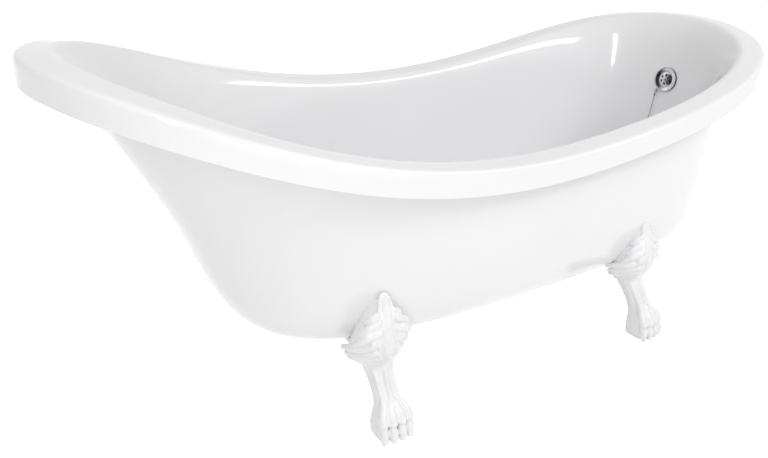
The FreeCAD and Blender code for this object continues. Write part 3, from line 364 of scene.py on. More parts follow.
class BathFootSettings(bpy.types.PropertyGroup):
    head_x: size_property("Head feet", "Heel line of the head end's feet along the bath", -0.3375)
    drain_x: size_property("Drain feet", "Heel line of the drain end's feet along the bath", 0.3785)
    head_spread: size_property("Head spread", "Heel line to heel line across the bath, head end", 0.593)
    drain_spread: size_property("Drain spread", "The same at the drain end", 0.606)
    head_splay: turn_property("Head splay", "Turn of the head end's feet towards that end",
                              math.radians(1.0))
    drain_splay: turn_property("Drain splay", "Turn of the drain end's feet towards that end",
                               math.radians(5.0))
    grain: size_property("Casting detail", "Size of the smallest form that the casting keeps", 0.0015)
    colour: colour_property("Enamel", "Colour of the cast feet", (0.87, 0.865, 0.875))
    roughness: share_property("Roughness", "How soft reflections in the enamel are", 0.24)


class BathFittingSettings(bpy.types.PropertyGroup):
    faceplate_radius: size_property("Faceplate radius", "Outside of the overflow's faceplate", 0.036)
    chrome: colour_property("Chrome", "Colour of the plated fittings", (0.8, 0.805, 0.82))
    rubber: colour_property("Rubber", "Colour of the plug and the seals", (0.025, 0.025, 0.027))
    plastic: colour_property("Plastic", "Colour of the hidden waste and overflow bodies", (0.74, 0.74, 0.73))


class BathChainSettings(bpy.types.PropertyGroup):
    bead: size_property("Bead", "Diameter of one bead", 0.0038)
    pitch: size_property("Pitch", "Middle of one bead to the middle of the next", 0.0047)
    wire: size_property("Wire", "Diameter of the wire between beads", 0.0012)


class BathStageSettings(bpy.types.PropertyGroup):
    camera_place: bpy.props.FloatVectorProperty(
        name="Camera", description="Where the camera stands", default=(-0.96215, -1.23156, 0.98539), size=3,
        subtype="TRANSLATION", unit="LENGTH")
    heading: turn_property("Heading", "Camera's turn away from looking along +Y", 0.608003)
    pitch: turn_property("Pitch", "Camera's tilt below the horizon", 0.427275)
    roll: turn_property("Roll", "Camera's lean", 0.065246)
    focal_pixels: bpy.props.FloatProperty(name="Focal length", description="In pixels of the photograph",
                                          default=727.953, min=1.0)
    centre_offset: bpy.props.FloatVectorProperty(
        name="Centre offset", description="Optical centre from the picture's middle, in pixels",
        default=(25.008, -23.570), size=2)
    floor: colour_property("Floor", "Colour of the floor", (0.9, 0.9, 0.9))
    floor_glow: strength_property("Floor glow", "Light that the floor adds where it is seen", 0.65)
    room: strength_property("Room light", "Strength of the light from all round", 0.6)
    end_dimming: share_property("Dim ends", "Share of the room light missing beyond the bath's ends", 0.65)
    key: power_property("Key lamp", "Power of the large lamp", 23.5)
    strip: power_property("Strip lamp", "Power of the tall narrow lamp", 21.0)
    low_fill: power_property("Low fill", "Power of the wide lamp before the hull", 5.0)


# ---- modelling by hand, step by step ----

def clear_selection():
    bpy.ops.object.select_all(action="DESELECT")


def make_active(body):
    clear_selection()
    body.select_set(True)
    bpy.context.view_layer.objects.active = body


def primitive(add, name, **values):
    """Adds a primitive with nothing else selected and names it."""
    clear_selection()
    add(**values)
    body = bpy.context.object
    body.name = name
    body.data.name = name
    return body


def mode(name):
    bpy.ops.object.mode_set(mode=name)


def settle(body, place=None):
    """Puts a finished piece's place into its mesh and leaves its object at the origin."""
    make_active(body)
    if place is not None:
        body.matrix_world = place @ body.matrix_world
    bpy.ops.object.transform_apply(location=True, rotation=True, scale=True)
    return body


def modified(body, kind, **values):
    """Adds one modifier, sets it and applies it."""
    make_active(body)
    bpy.ops.object.modifier_add(type=kind)
    modifier = body.modifiers[-1]
    for key, value in values.items():
        setattr(modifier, key, value)
    bpy.ops.object.modifier_apply(modifier=modifier.name)
    return body


def cut(body, cutter, operation="DIFFERENCE"):
    modified(body, "BOOLEAN", operation=operation, object=cutter, solver="EXACT")
    bpy.data.objects.remove(cutter)
    return body


def smooth(body, degrees):
    make_active(body)
    bpy.ops.object.shade_smooth_by_angle(angle=math.radians(degrees))
    return body


def joined(name, bodies):
    make_active(bodies[0])
    for body in bodies[1:]:
        body.select_set(True)
    bpy.ops.object.join()
    bodies[0].name = name
    bodies[0].data.name = name
    return bodies[0]


def twin(body, name):
    """A copy with its own mesh."""
    copy = body.copy()
    copy.data = body.data.copy()
    copy.name = name
    copy.data.name = name
    bpy.context.collection.objects.link(copy)
    return copy


def mirrored(body, name):
    """A copy mirrored across the long centre plane, with its faces turned the right way again."""
    copy = twin(body, name)
    make_active(copy)
    copy.scale.y = -1
    bpy.ops.object.transform_apply(location=False, rotation=False, scale=True)
    tidy_normals(copy)
    return copy


def tidy_normals(body, gap=1e-6):
    make_active(body)
    mode("EDIT")
    bpy.ops.mesh.select_all(action="SELECT")
    bpy.ops.mesh.remove_doubles(threshold=gap)
    bpy.ops.mesh.normals_make_consistent(inside=False)
    mode("OBJECT")
    return body


def drawn_up(name, loops, first_cap=False, last_cap=False):
    """A skin drawn from a circle, one extruded loop of edges after another, each set to its points."""
    loops = [np.asarray(loop, dtype=float) * MM for loop in loops]
    around = len(loops[0])
    body = primitive(bpy.ops.mesh.primitive_circle_add, name, vertices=around, radius=1.0)
    turns = np.arctan2(*[[vertex.co[axis] for vertex in body.data.vertices] for axis in (1, 0)])
    order = np.argsort(np.argsort((turns + TURN_SLACK) % (2 * math.pi)))
    for vertex, place in zip(body.data.vertices, order):
        vertex.co = loops[0][place]
    mode("EDIT")
    bpy.ops.mesh.select_mode(type="VERT")
    bpy.ops.mesh.select_all(action="SELECT")
    if first_cap:
        bpy.ops.mesh.edge_face_add()
        drawing = bmesh.from_edit_mesh(body.data)
        for face in drawing.faces:
            face.select_set(False)
        for edge in drawing.edges:
            edge.select_set(True)
    for before, after in zip(loops, loops[1:]):
        bpy.ops.mesh.extrude_edges_move()
        drawing = bmesh.from_edit_mesh(body.data)
        fresh = [vertex for vertex in drawing.verts if vertex.select]
        lying = np.array([vertex.co[:] for vertex in fresh])
        gaps = ((lying[:, None, :] - before[None, :, :]) ** 2).sum(axis=2)
        for vertex, place in zip(fresh, gaps.argmin(axis=1)):
            vertex.co = after[place]
        bmesh.update_edit_mesh(body.data)
    if last_cap:
        bpy.ops.mesh.edge_face_add()
    mode("OBJECT")
    return body


def circle_loop(radius, height, steps):
    turns = np.arange(steps) * 2 * math.pi / steps
    return np.stack([radius * np.cos(turns), radius * np.sin(turns), np.full(steps, float(height))], axis=1)


def shifted(section, radius, height):
    """A section's offsets as points from this radius and height."""
    return [(radius + outwards, height + upwards) for outwards, upwards in section]


def domed(dome, radius, top):
    """A dome's points from its shares of this radius and its rises over this top."""
    return [(radius * share, top + rise) for share, rise in dome]


def eased(profile, reach, steps=4):
    """A profile with each inner corner rounded over this reach."""
    points = [np.array(point, dtype=float) for point in profile]
    soft = [points[0]]
    for before, corner, after in zip(points, points[1:], points[2:]):
        back = before - corner
        ahead = after - corner
        way_back = corner + back * min(reach / np.linalg.norm(back), CORNER_SHARE)
        way_ahead = corner + ahead * min(reach / np.linalg.norm(ahead), CORNER_SHARE)
        for step in range(steps + 1):
            share = step / steps
            soft.append((1 - share) ** 2 * way_back + 2 * share * (1 - share) * corner
                        + share ** 2 * way_ahead)
    soft.append(points[-1])
    return soft


def turned(name, profile, steps, closed=False):
    """A body drawn up loop by loop about an upright axis from (radius, height) points."""
    loops = [circle_loop(max(radius, AXIS_RADIUS), height, steps) for radius, height in profile]
    if closed:
        loops.append(loops[0])
    return tidy_normals(drawn_up(name, loops), AXIS_GAP)


def slab(name, size, centre, bevel=0.0):
    """A box at its size and place, in millimetres, with its edges bevelled this far."""
    body = primitive(bpy.ops.mesh.primitive_cube_add, name, size=1.0,
                     location=Vector(centre) * MM, scale=Vector(size) * MM)
    bpy.ops.object.transform_apply(location=True, rotation=True, scale=True)
    if bevel:
        modified(body, "BEVEL", width=bevel * MM, segments=EDGE_STEPS)
    return body


def rod(name, radius, span, steps=BOSS_POINTS, x=0.0, y=0.0):
    """An upright round bar for cutting, in millimetres, from the span's low end to its high end."""
    low, high = span
    return primitive(bpy.ops.mesh.primitive_cylinder_add, name, vertices=steps, radius=radius * MM,
                     depth=(high - low) * MM, location=(x * MM, y * MM, (low + high) / 2 * MM))


def hoop(name, radius, wire, place):
    """A wire ring about the place's own +Z."""
    body = primitive(bpy.ops.mesh.primitive_torus_add, name, major_radius=radius * MM,
                     minor_radius=wire * MM, major_segments=HOOP_POINTS, minor_segments=WIRE_POINTS)
    settle(body, place)
    return smooth(body, WIRE_CREASE)


def finished(body, owner, slot, material, *nodes):
    """Dresses a finished piece, hides the CAD nodes that it stands for and makes it ride on its body."""
    settle(body)
    body.data.materials.clear()
    body.data.materials.append(material)
    if nodes:
        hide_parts(*nodes)
    if owner:
        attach(body, owner)
    return body


# ---- finishes ----

# Painted reflection on the chrome: a nearly black base colour where a plate is seen face on, standing in for
# a dim room, fading out by the second facing share.
CHROME_PAINTED_REFLECTION = (0.03, 0.031, 0.035, 1.0)
PAINTED_REFLECTION_FULL_TO = 0.06           # facing share up to which the painted dark reflection is full
PAINTED_REFLECTION_GONE_FROM = 0.3
SPECKS_TO_DRIFT = 40.0          # how much finer specks are than the drift of tone
HAIRS_TO_PATCH = 24.0           # how much finer wiping marks are than the patches of polish
HAIR_SHARE = 0.3
PATCH_SHARE = 0.7
GRAIN_STRETCH = (4.0, 90.0, 420.0)
GRAIN_SHARE = 0.55
PLY_SCALE = 52.0
PLY_SHARE = 0.4
PLY_GLUE = (0.27, 0.17, 0.09, 1)


def new_group(name, inputs, outputs):
    """A node group with these sockets, and its input and output nodes."""
    group = bpy.data.node_groups.new(name, "ShaderNodeTree")
    for title, kind, default in inputs:
        socket = group.interface.new_socket(title, in_out="INPUT", socket_type=kind)
        if default is not None:
            socket.default_value = default
    for title, kind in outputs:
        group.interface.new_socket(title, in_out="OUTPUT", socket_type=kind)
    start = group.nodes.new("NodeGroupInput")
    end = group.nodes.new("NodeGroupOutput")
    return group, start, end


def noise(tree, vector, scale, detail, distortion=0.0):
    node = tree.nodes.new("ShaderNodeTexNoise")
    node.inputs["Detail"].default_value = detail
    node.inputs["Distortion"].default_value = distortion
    tree.links.new(vector, node.inputs["Vector"])
    if isinstance(scale, (int, float)):
        node.inputs["Scale"].default_value = scale
    else:
        tree.links.new(scale, node.inputs["Scale"])
    return node.outputs["Fac"]


def arithmetic(tree, operation, first, second=None, third=None):
    node = tree.nodes.new("ShaderNodeMath")
    node.operation = operation
    for socket, value in zip(node.inputs, (first, second, third)):
        if isinstance(value, (int, float)):
            socket.default_value = value
        elif value is not None:
            tree.links.new(value, socket)
    return node.outputs[0]


def ranged(tree, value, low, high, to_low, to_high):
    node = tree.nodes.new("ShaderNodeMapRange")
    node.interpolation_type = "SMOOTHSTEP"
    tree.links.new(value, node.inputs["Value"])
    for title, number in (("From Min", low), ("From Max", high), ("To Min", to_low), ("To Max", to_high)):
        if isinstance(number, (int, float)):
            node.inputs[title].default_value = number
        else:
            tree.links.new(number, node.inputs[title])
    return node.outputs["Result"]


def blend_colours(tree, share, first, second, target):
    """Feeds a socket with a blend of two colours, each a socket or a value."""
    mix = tree.nodes.new("ShaderNodeMix")
    mix.data_type = "RGBA"
    tree.links.new(share, mix.inputs["Factor"])
    tones = [socket for socket in mix.inputs if socket.type == "RGBA"]
    for socket, tone in zip(tones, (first, second)):
        if isinstance(tone, tuple):
            socket.default_value = tone
        else:
            tree.links.new(tone, socket)
    tree.links.new([socket for socket in mix.outputs if socket.type == "RGBA"][0], target)


def tint_group():
    """Colour that drifts slowly between two tones over the surface, with fine specks in it."""
    group, start, end = new_group("Tone Drift", (
        ("Vector", "NodeSocketVector", None), ("Tone A", "NodeSocketColor", (0.8, 0.8, 0.8, 1)),
        ("Tone B", "NodeSocketColor", (0.7, 0.7, 0.7, 1)), ("Scale", "NodeSocketFloat", 6.0),
        ("Speck", "NodeSocketFloat", 0.1)), (("Color", "NodeSocketColor"), ("Mask", "NodeSocketFloat")))
    slow = noise(group, start.outputs["Vector"], start.outputs["Scale"], detail=4.0, distortion=0.6)
    fine_scale = arithmetic(group, "MULTIPLY", start.outputs["Scale"], SPECKS_TO_DRIFT)
    fine = noise(group, start.outputs["Vector"], fine_scale, detail=2.0)
    speck = arithmetic(group, "MULTIPLY", arithmetic(group, "SUBTRACT", fine, 0.5), start.outputs["Speck"])
    mask = arithmetic(group, "ADD", ranged(group, slow, 0.32, 0.68, 0.0, 1.0), speck)
    node = group.nodes.new("ShaderNodeClamp")
    group.links.new(mask, node.inputs["Value"])
    blend_colours(group, node.outputs["Result"], start.outputs["Tone A"], start.outputs["Tone B"],
                  end.inputs["Color"])
    group.links.new(node.outputs["Result"], end.inputs["Mask"])
    return group


def polish_group():
    """Roughness that changes over a surface as wiping and handling leave it."""
    group, start, end = new_group("Polish", (
        ("Vector", "NodeSocketVector", None), ("Clean", "NodeSocketFloat", 0.1),
        ("Worn", "NodeSocketFloat", 0.2), ("Scale", "NodeSocketFloat", 8.0)),
        (("Roughness", "NodeSocketFloat"),))
    broad = noise(group, start.outputs["Vector"], start.outputs["Scale"], detail=5.0, distortion=1.2)
    hair_scale = arithmetic(group, "MULTIPLY", start.outputs["Scale"], HAIRS_TO_PATCH)
    hair = noise(group, start.outputs["Vector"], hair_scale, detail=3.0)
    patches = arithmetic(group, "MULTIPLY", broad, PATCH_SHARE)
    both = arithmetic(group, "MULTIPLY_ADD", hair, HAIR_SHARE, patches)
    result = ranged(group, both, 0.35, 0.7, start.outputs["Clean"], start.outputs["Worn"])
    group.links.new(result, end.inputs["Roughness"])
    return group


def ripple_group():
    """Height of a surface that is never quite flat: long waves with a finer skin on them."""
    group, start, end = new_group("Ripple", (
        ("Vector", "NodeSocketVector", None), ("Wave Scale", "NodeSocketFloat", 4.0),
        ("Skin Scale", "NodeSocketFloat", 300.0), ("Skin Share", "NodeSocketFloat", 0.2)),
        (("Height", "NodeSocketFloat"),))
    wave = noise(group, start.outputs["Vector"], start.outputs["Wave Scale"], detail=2.0)
    skin = noise(group, start.outputs["Vector"], start.outputs["Skin Scale"], detail=2.0)
    height = arithmetic(group, "MULTIPLY_ADD", skin, start.outputs["Skin Share"], wave)
    group.links.new(height, end.inputs["Height"])
    return group


GROUPS = {}


def shared_group(name):
    makers = {"Tone Drift": tint_group, "Polish": polish_group, "Ripple": ripple_group}
    if name not in GROUPS:
        GROUPS[name] = makers[name]()
    return GROUPS[name]


def place_group(material, name, vector, **values):
    node = material.node_tree.nodes.new("ShaderNodeGroup")
    node.node_tree = shared_group(name)
    material.node_tree.links.new(vector, node.inputs["Vector"])
    for title, value in values.items():
        node.inputs[title.replace("_", " ")].default_value = value
    return node


def toned(colour, factor):
    return tuple(min(channel * factor, 1.0) for channel in colour) + (1.0,)


def new_finish(name, tones, polish, ripple, bump, metallic=0.0, **sockets):
    """A procedural material: drifting tone, uneven polish and a rippled surface.

    tones is (tone A, tone B, scale, speck), polish is (clean, worn, scale) and ripple is
    (wave scale, skin scale, skin share); bump is (strength, distance in metres)."""
    material = bpy.data.materials.new(name)
    material.use_nodes = True
    tree = material.node_tree
    shader = tree.nodes["Principled BSDF"]
    place = tree.nodes.new("ShaderNodeTexCoord").outputs["Object"]
    drift = place_group(material, "Tone Drift", place, Tone_A=tones[0], Tone_B=tones[1], Scale=tones[2],
                        Speck=tones[3])
    tree.links.new(drift.outputs["Color"], shader.inputs["Base Color"])
    handled = place_group(material, "Polish", place, Clean=polish[0], Worn=polish[1], Scale=polish[2])
    tree.links.new(handled.outputs["Roughness"], shader.inputs["Roughness"])
    waves = place_group(material, "Ripple", place, Wave_Scale=ripple[0], Skin_Scale=ripple[1],
                        Skin_Share=ripple[2])
    relief = tree.nodes.new("ShaderNodeBump")
    relief.inputs["Strength"].default_value = bump[0]
    relief.inputs["Distance"].default_value = bump[1]
    tree.links.new(waves.outputs["Height"], relief.inputs["Height"])
    tree.links.new(relief.outputs["Normal"], shader.inputs["Normal"])
    shader.inputs["Metallic"].default_value = metallic
    for title, value in sockets.items():
        shader.inputs[title.replace("_", " ")].default_value = value
    return material


MADE = {}


def finish_of(name, make):
    """The finish of this name, made the first time that a piece asks for it."""
    if name not in MADE:
        MADE[name] = make()
    return MADE[name]


def acrylic():
    shell = bpy.context.scene.bath_shell
    return finish_of("Gloss Acrylic", lambda: new_finish(
        "Gloss Acrylic", (toned(shell.colour, 1.0), toned(shell.colour, 0.985), 3.0, 0.08),
        (shell.roughness * 0.8, shell.roughness * 1.35, 5.0), (3.0, 260.0, 0.02), (0.05, 0.002),
        Coat_Weight=0.3, Coat_Roughness=0.04, IOR=1.49))


def enamel():
    feet = bpy.context.scene.bath_feet
    return finish_of("Foot Enamel", lambda: new_finish(
        "Foot Enamel", (toned(feet.colour, 1.0), toned(feet.colour, 0.94), 14.0, 0.2),
        (feet.roughness * 0.8, feet.roughness * 1.3, 22.0), (60.0, 900.0, 0.25), (0.12, 0.0012),
        Coat_Weight=0.2, Coat_Roughness=0.12))


def chrome():
    return finish_of("Chrome Plate", lambda: chrome_with_painted_reflection("Chrome Plate"))


def chrome_with_painted_reflection(name):
    """Chrome with a painted reflection: a nearly black base colour where it is seen face on, standing in for
    a dim room, and the plate's own tone towards its edges.
    """
    colour = bpy.context.scene.bath_fittings.chrome
    material = new_finish(name, (toned(colour, 1.0), toned(colour, 0.94), 30.0, 0.1), (0.035, 0.13, 40.0),
                          (50.0, 1800.0, 0.1), (0.02, 0.0004), metallic=1.0)
    tree = material.node_tree
    shader = tree.nodes["Principled BSDF"]
    plate = shader.inputs["Base Color"].links[0].from_socket
    # Painted reflection: the Layer Weight's facing share mixes a nearly black colour into the base colour
    # where the plate is seen face on.
    edge = tree.nodes.new("ShaderNodeLayerWeight").outputs["Facing"]
    share = ranged(tree, edge, PAINTED_REFLECTION_FULL_TO, PAINTED_REFLECTION_GONE_FROM, 0.0, 1.0)
    blend_colours(tree, share, CHROME_PAINTED_REFLECTION, plate, shader.inputs["Base Color"])
    return material


def rubber():
    colour = bpy.context.scene.bath_fittings.rubber
    return finish_of("Black Rubber", lambda: new_finish(
        "Black Rubber", (toned(colour, 1.0), toned(colour, 1.8), 30.0, 0.4), (0.5, 0.72, 40.0),
        (90.0, 1400.0, 0.6), (0.3, 0.0006)))


def moulded_plastic():
    colour = bpy.context.scene.bath_fittings.plastic
    return finish_of("Moulded Plastic", lambda: new_finish(
        "Moulded Plastic", (toned(colour, 1.0), toned(colour, 0.93), 18.0, 0.15), (0.38, 0.52, 30.0),
        (40.0, 1200.0, 0.5), (0.15, 0.0006)))


def hose_plastic():
    colour = bpy.context.scene.bath_fittings.plastic
    return finish_of("Hose Plastic", lambda: new_finish(
        "Hose Plastic", (toned(colour, 0.93), toned(colour, 0.84), 12.0, 0.2), (0.42, 0.6, 20.0),
        (120.0, 700.0, 0.3), (0.25, 0.0008)))


def zinc_steel():
    return finish_of("Zinc Steel", lambda: new_finish(
        "Zinc Steel", ((0.62, 0.63, 0.65, 1), (0.5, 0.51, 0.53, 1), 60.0, 0.8), (0.24, 0.42, 60.0),
        (120.0, 1600.0, 0.4), (0.15, 0.0004), metallic=1.0))


def brass():
    return finish_of("Insert Brass", lambda: new_finish(
        "Insert Brass", ((0.74, 0.57, 0.27, 1), (0.6, 0.44, 0.2, 1), 50.0, 0.4), (0.2, 0.38, 50.0),
        (100.0, 1500.0, 0.3), (0.12, 0.0004), metallic=1.0))


def plywood():
    return finish_of("Raw Plywood", lambda: layered_wood("Raw Plywood"))


def layered_wood(name):
    """Plies that show on the edges as bands of height, with a long grain on the faces."""
    material = new_finish(name, ((0.6, 0.44, 0.27, 1), (0.46, 0.32, 0.18, 1), 9.0, 0.5), (0.55, 0.78, 14.0),
                          (30.0, 420.0, 0.6), (0.4, 0.0008))
    tree = material.node_tree
    shader = tree.nodes["Principled BSDF"]
    drift = shader.inputs["Base Color"].links[0].from_socket
    place = next(node for node in tree.nodes if node.type == "TEX_COORD").outputs["Object"]
    stretch = tree.nodes.new("ShaderNodeMapping")
    stretch.inputs["Scale"].default_value = GRAIN_STRETCH
    tree.links.new(place, stretch.inputs["Vector"])
    grain = noise(tree, stretch.outputs["Vector"], 1.0, detail=6.0, distortion=0.4)
    bands = tree.nodes.new("ShaderNodeTexWave")
    bands.bands_direction = "Z"
    bands.inputs["Scale"].default_value = PLY_SCALE
    bands.inputs["Distortion"].default_value = 0.6
    tree.links.new(place, bands.inputs["Vector"])
    plies = arithmetic(tree, "MULTIPLY", bands.outputs["Fac"], PLY_SHARE)
    share = arithmetic(tree, "MULTIPLY_ADD", grain, GRAIN_SHARE, plies)
    blend_colours(tree, share, drift, PLY_GLUE, shader.inputs["Base Color"])
    return material


# ---- forms of the shells ----

TURNS = np.arange(RING_POINTS) * 2 * math.pi / RING_POINTS


def signed_power(value, exponent):
    return np.copysign(np.abs(value) ** exponent, value)


def between(values):
    """Values at the head end, the sides and the drain end, read at every turn round the bath."""
    if isinstance(values, (int, float)):
        values = (values, values, values)
    head, side, drain = values
    end = np.where(np.cos(TURNS) < 0, head, drain)
    return side + (end - side) * np.cos(TURNS) ** 2


def rim_height(share):
    """The smooth curve through the rim's heights."""
    last = len(RIM_HEIGHTS) - 1
    total = 0.0
    for index, height in enumerate(RIM_HEIGHTS):
        weight = height
        for other in range(last + 1):
            if other != index:
                weight = weight * (share * last - other) / (index - other)
        total = total + weight
    return total


def oval(turns, head, drain, width, head_roundness, drain_roundness):
    roundness = np.where(np.cos(turns) < 0, head_roundness, drain_roundness)
    x = (head + drain) / 2 + (drain - head) / 2 * signed_power(np.cos(turns), 2 / roundness)
    y = width / 2 * signed_power(np.sin(turns), 2 / roundness)
    return x, y


def rim_outline(turns):
    shell = bpy.context.scene.bath_shell
    half = shell.length / MM / 2
    x, y = oval(turns, -half, half, shell.width / MM, HEAD_ROUNDNESS, DRAIN_ROUNDNESS)
    share = x / half
    fullness = 1 + OUTLINE_SKEW * share + OUTLINE_SHOULDER * share ** 2 + OUTLINE_TWIST * share ** 3
    return x, y * fullness


def rim_row(inset, drop):
    """Control points this far in from the roll's outer face and this far below its crown."""
    half = bpy.context.scene.bath_shell.length / MM / 2
    step = math.pi / RING_POINTS
    ahead = np.stack(rim_outline(TURNS + step), axis=1)
    behind = np.stack(rim_outline(TURNS - step), axis=1)
    along = ahead - behind
    along /= np.linalg.norm(along, axis=1)[:, None]
    inwards = np.stack([-along[:, 1], along[:, 0]], axis=1)
    x, y = rim_outline(TURNS)
    inset = between(inset)
    return np.stack([x + inwards[:, 0] * inset, y + inwards[:, 1] * inset,
                     rim_height((x / half + 1) / 2) - between(drop)], axis=1)


def eased_out(row):
    """Control points moved out by what a cubic ring takes off them."""
    middle = (np.roll(row, 1, axis=0) + np.roll(row, -1, axis=0)) / 2
    return row + (row - middle) / 3


def wall_rows(contour, top, reach, lift, swell, height_at):
    way = (top - contour) * (1, 1, 0)
    low = contour + way * between(reach)[:, None]
    low[:, 2] = height_at(low[:, 0])
    outwards = way / np.linalg.norm(way, axis=1)[:, None]
    mid = low + (top - low) * between(lift)[:, None] + outwards * between(swell)[:, None]
    return [contour, low, mid]


def floor_height(x):
    head, drain = BASIN_FLOOR[:2]
    return FLOOR_HEIGHT + FLOOR_FALL * (drain - x) / (drain - head)


def basin_rows():
    """The wetted surface: floor contour, wall, shoulder, crown of the roll and its skirt."""
    roll = bpy.context.scene.bath_shell.roll_width / MM
    x, y = oval(TURNS, *BASIN_FLOOR)
    contour = np.stack([x, y, floor_height(x)], axis=1)
    shoulder = rim_row(BASIN_SHOULDER_INSET, BASIN_SHOULDER_DROP)
    rows = wall_rows(contour, shoulder, BASIN_FOOT_REACH, BASIN_WALL_LIFT, BASIN_WALL_SWELL, floor_height)
    rows += [
        shoulder,
        rim_row(roll + BASIN_BEAD_INSET, BASIN_BEAD_DROP),
        rim_row(roll - ROLL_CROWN_INSET, -ROLL_CROWN_RISE),
        rim_row((roll + ROLL_CORNER) / 2, 0.0),
        rim_row(ROLL_CORNER, -ROLL_CORNER_RISE),
        rim_row(0.0, 0.0),
        rim_row(0.0, ROLL_CORNER + ROLL_CORNER_DROP),
        rim_row(0.0, SKIRT_DEPTH - SKIRT_TURN),
        rim_row(0.0, SKIRT_DEPTH),
    ]
    return [eased_out(row) for row in rows]


def skin_rows():
    """The outside of the skin: bottom contour, wall, waist and ledge under the roll."""
    x, y = oval(TURNS, *SKIN_BOTTOM)
    contour = np.stack([x, y, np.full(RING_POINTS, GROUND_CLEARANCE)], axis=1)
    waist = rim_row(SKIN_WAIST_INSET, SKIN_WAIST_DROP)
    rows = wall_rows(contour, waist, SKIN_FOOT_REACH, SKIN_WALL_LIFT, SKIN_WALL_SWELL,
                     lambda place: GROUND_CLEARANCE)
    rows += [waist, rim_row(SKIN_LEDGE_INSET, SKIN_LEDGE_DROP)]
    return [eased_out(row) for row in rows]


def cubic_weights(steps):
    share = np.arange(steps) / steps
    return np.stack([(1 - share) ** 3, 3 * share ** 3 - 6 * share ** 2 + 4,
                     -3 * share ** 3 + 3 * share ** 2 + 3 * share + 1, share ** 3], axis=1) / 6


def round_curve(row, steps):
    """Points of the closed smooth curve that a ring of control points draws."""
    weights = cubic_weights(steps)
    near = np.stack([np.roll(row, shift, axis=0) for shift in (1, 0, -1, -2)])
    return np.einsum("sk,kpc->psc", weights, near).reshape(-1, 3)


def surface_loops(rows, steps_across, steps_round):
    """Loops of the smooth surface over rows of control points, which starts and ends on its end rows."""
    rings = np.stack([round_curve(row, steps_round) for row in rows])
    free = rings.copy()
    free[0] = 6 * rings[0] - 6 * rings[1] + rings[2]
    free[1] = 1.5 * rings[1] - 0.5 * rings[2]
    free[-2] = 1.5 * rings[-2] - 0.5 * rings[-3]
    free[-1] = 6 * rings[-1] - 6 * rings[-2] + rings[-3]
    weights = cubic_weights(steps_across)
    loops = []
    for span in range(len(rows) - 3):
        loops += list(np.einsum("sk,kpc->spc", weights, free[span:span + 4]))
    loops.append(rings[-1])
    return loops


def face_up(body, wanted):
    """Turns all faces over where the widest one doesn't look the wanted way."""
    widest = max(body.data.polygons, key=lambda face: face.area)
    looks_away = widest.normal.dot(wanted) < 0
    make_active(body)
    mode("EDIT")
    bpy.ops.mesh.select_all(action="SELECT")
    if looks_away:
        bpy.ops.mesh.flip_normals()
    mode("OBJECT")
    return body


def overflow_place(loops):
    """Where the overflow's axis meets the end wall: +Z into the bath, +X down the wall."""
    column = np.array([loop[0] for loop in loops])
    high = next(index for index, point in enumerate(column) if point[2] > OVERFLOW_HEIGHT)
    below, above = column[high - 1], column[high]
    share = (OVERFLOW_HEIGHT - below[2]) / (above[2] - below[2])
    point = below + (above - below) * share
    up = Vector(above - below).normalized()
    into = Vector((-up.z, 0.0, up.x))
    down = -up
    side = into.cross(down)
    turn = Matrix((down, side, into)).transposed().to_4x4()
    return Matrix.Translation(Vector(point) * MM) @ turn


# ---- stage ----

class BATH_OT_stage(bpy.types.Operator):
    """Sets the camera, the floor and the lamps"""
    bl_idname = "bath.stage"
    bl_label = "Stage and camera"

    def execute(self, context):
        stage = context.scene.bath_stage
        set_camera(stage)
        set_floor(stage)
        set_room(stage)
        set_lamps(stage)
        return {"FINISHED"}


def set_camera(stage):
    clear_selection()
    bpy.ops.object.camera_add()
    camera = bpy.context.object
    camera.name = "Camera"
    level, tilt = stage.heading, stage.pitch
    ahead = Vector((math.sin(level) * math.cos(tilt), math.cos(level) * math.cos(tilt), -math.sin(tilt)))
    right = Vector((math.cos(level), -math.sin(level), 0.0))
    up = right.cross(ahead)
    leaning_right = math.cos(stage.roll) * right + math.sin(stage.roll) * up
    leaning_up = -math.sin(stage.roll) * right + math.cos(stage.roll) * up
    turn = Matrix((leaning_right, leaning_up, -ahead)).transposed().to_4x4()
    camera.matrix_world = Matrix.Translation(Vector(stage.camera_place)) @ turn
    camera.data.sensor_fit = "HORIZONTAL"
    camera.data.sensor_width = SENSOR_WIDTH
    camera.data.lens = stage.focal_pixels * SENSOR_WIDTH / PHOTO_WIDTH
    camera.data.shift_x = -stage.centre_offset[0] / PHOTO_WIDTH
    camera.data.shift_y = stage.centre_offset[1] / PHOTO_WIDTH
    bpy.context.scene.camera = camera


def directly_seen(tree):
    """One for the camera's own rays and for those through glass or off a gloss, else zero."""
    path = tree.nodes.new("ShaderNodeLightPath")
    through = arithmetic(tree, "MAXIMUM", path.outputs["Is Camera Ray"], path.outputs["Is Transmission Ray"])
    return arithmetic(tree, "MAXIMUM", through, path.outputs["Is Glossy Ray"])


def set_floor(stage):
    """A pale floor that shows white to the camera and still takes the bath's shadow."""
    floor = primitive(bpy.ops.mesh.primitive_plane_add, "Floor", size=FLOOR_SIZE)
    mode("EDIT")
    bpy.ops.mesh.select_all(action="SELECT")
    bpy.ops.mesh.subdivide(number_cuts=FLOOR_CUTS)
    mode("OBJECT")
    material = bpy.data.materials.new("Studio Floor")
    material.use_nodes = True
    tree = material.node_tree
    shader = tree.nodes["Principled BSDF"]
    shader.inputs["Base Color"].default_value = tuple(stage.floor) + (1.0,)
    shader.inputs["Roughness"].default_value = 0.9
    shader.inputs["Specular IOR Level"].default_value = 0.0
    seen = directly_seen(tree)
    strength = arithmetic(tree, "MULTIPLY", seen, stage.floor_glow)
    shader.inputs["Emission Color"].default_value = (1.0, 1.0, 1.0, 1.0)
    tree.links.new(strength, shader.inputs["Emission Strength"])
    floor.data.materials.append(material)


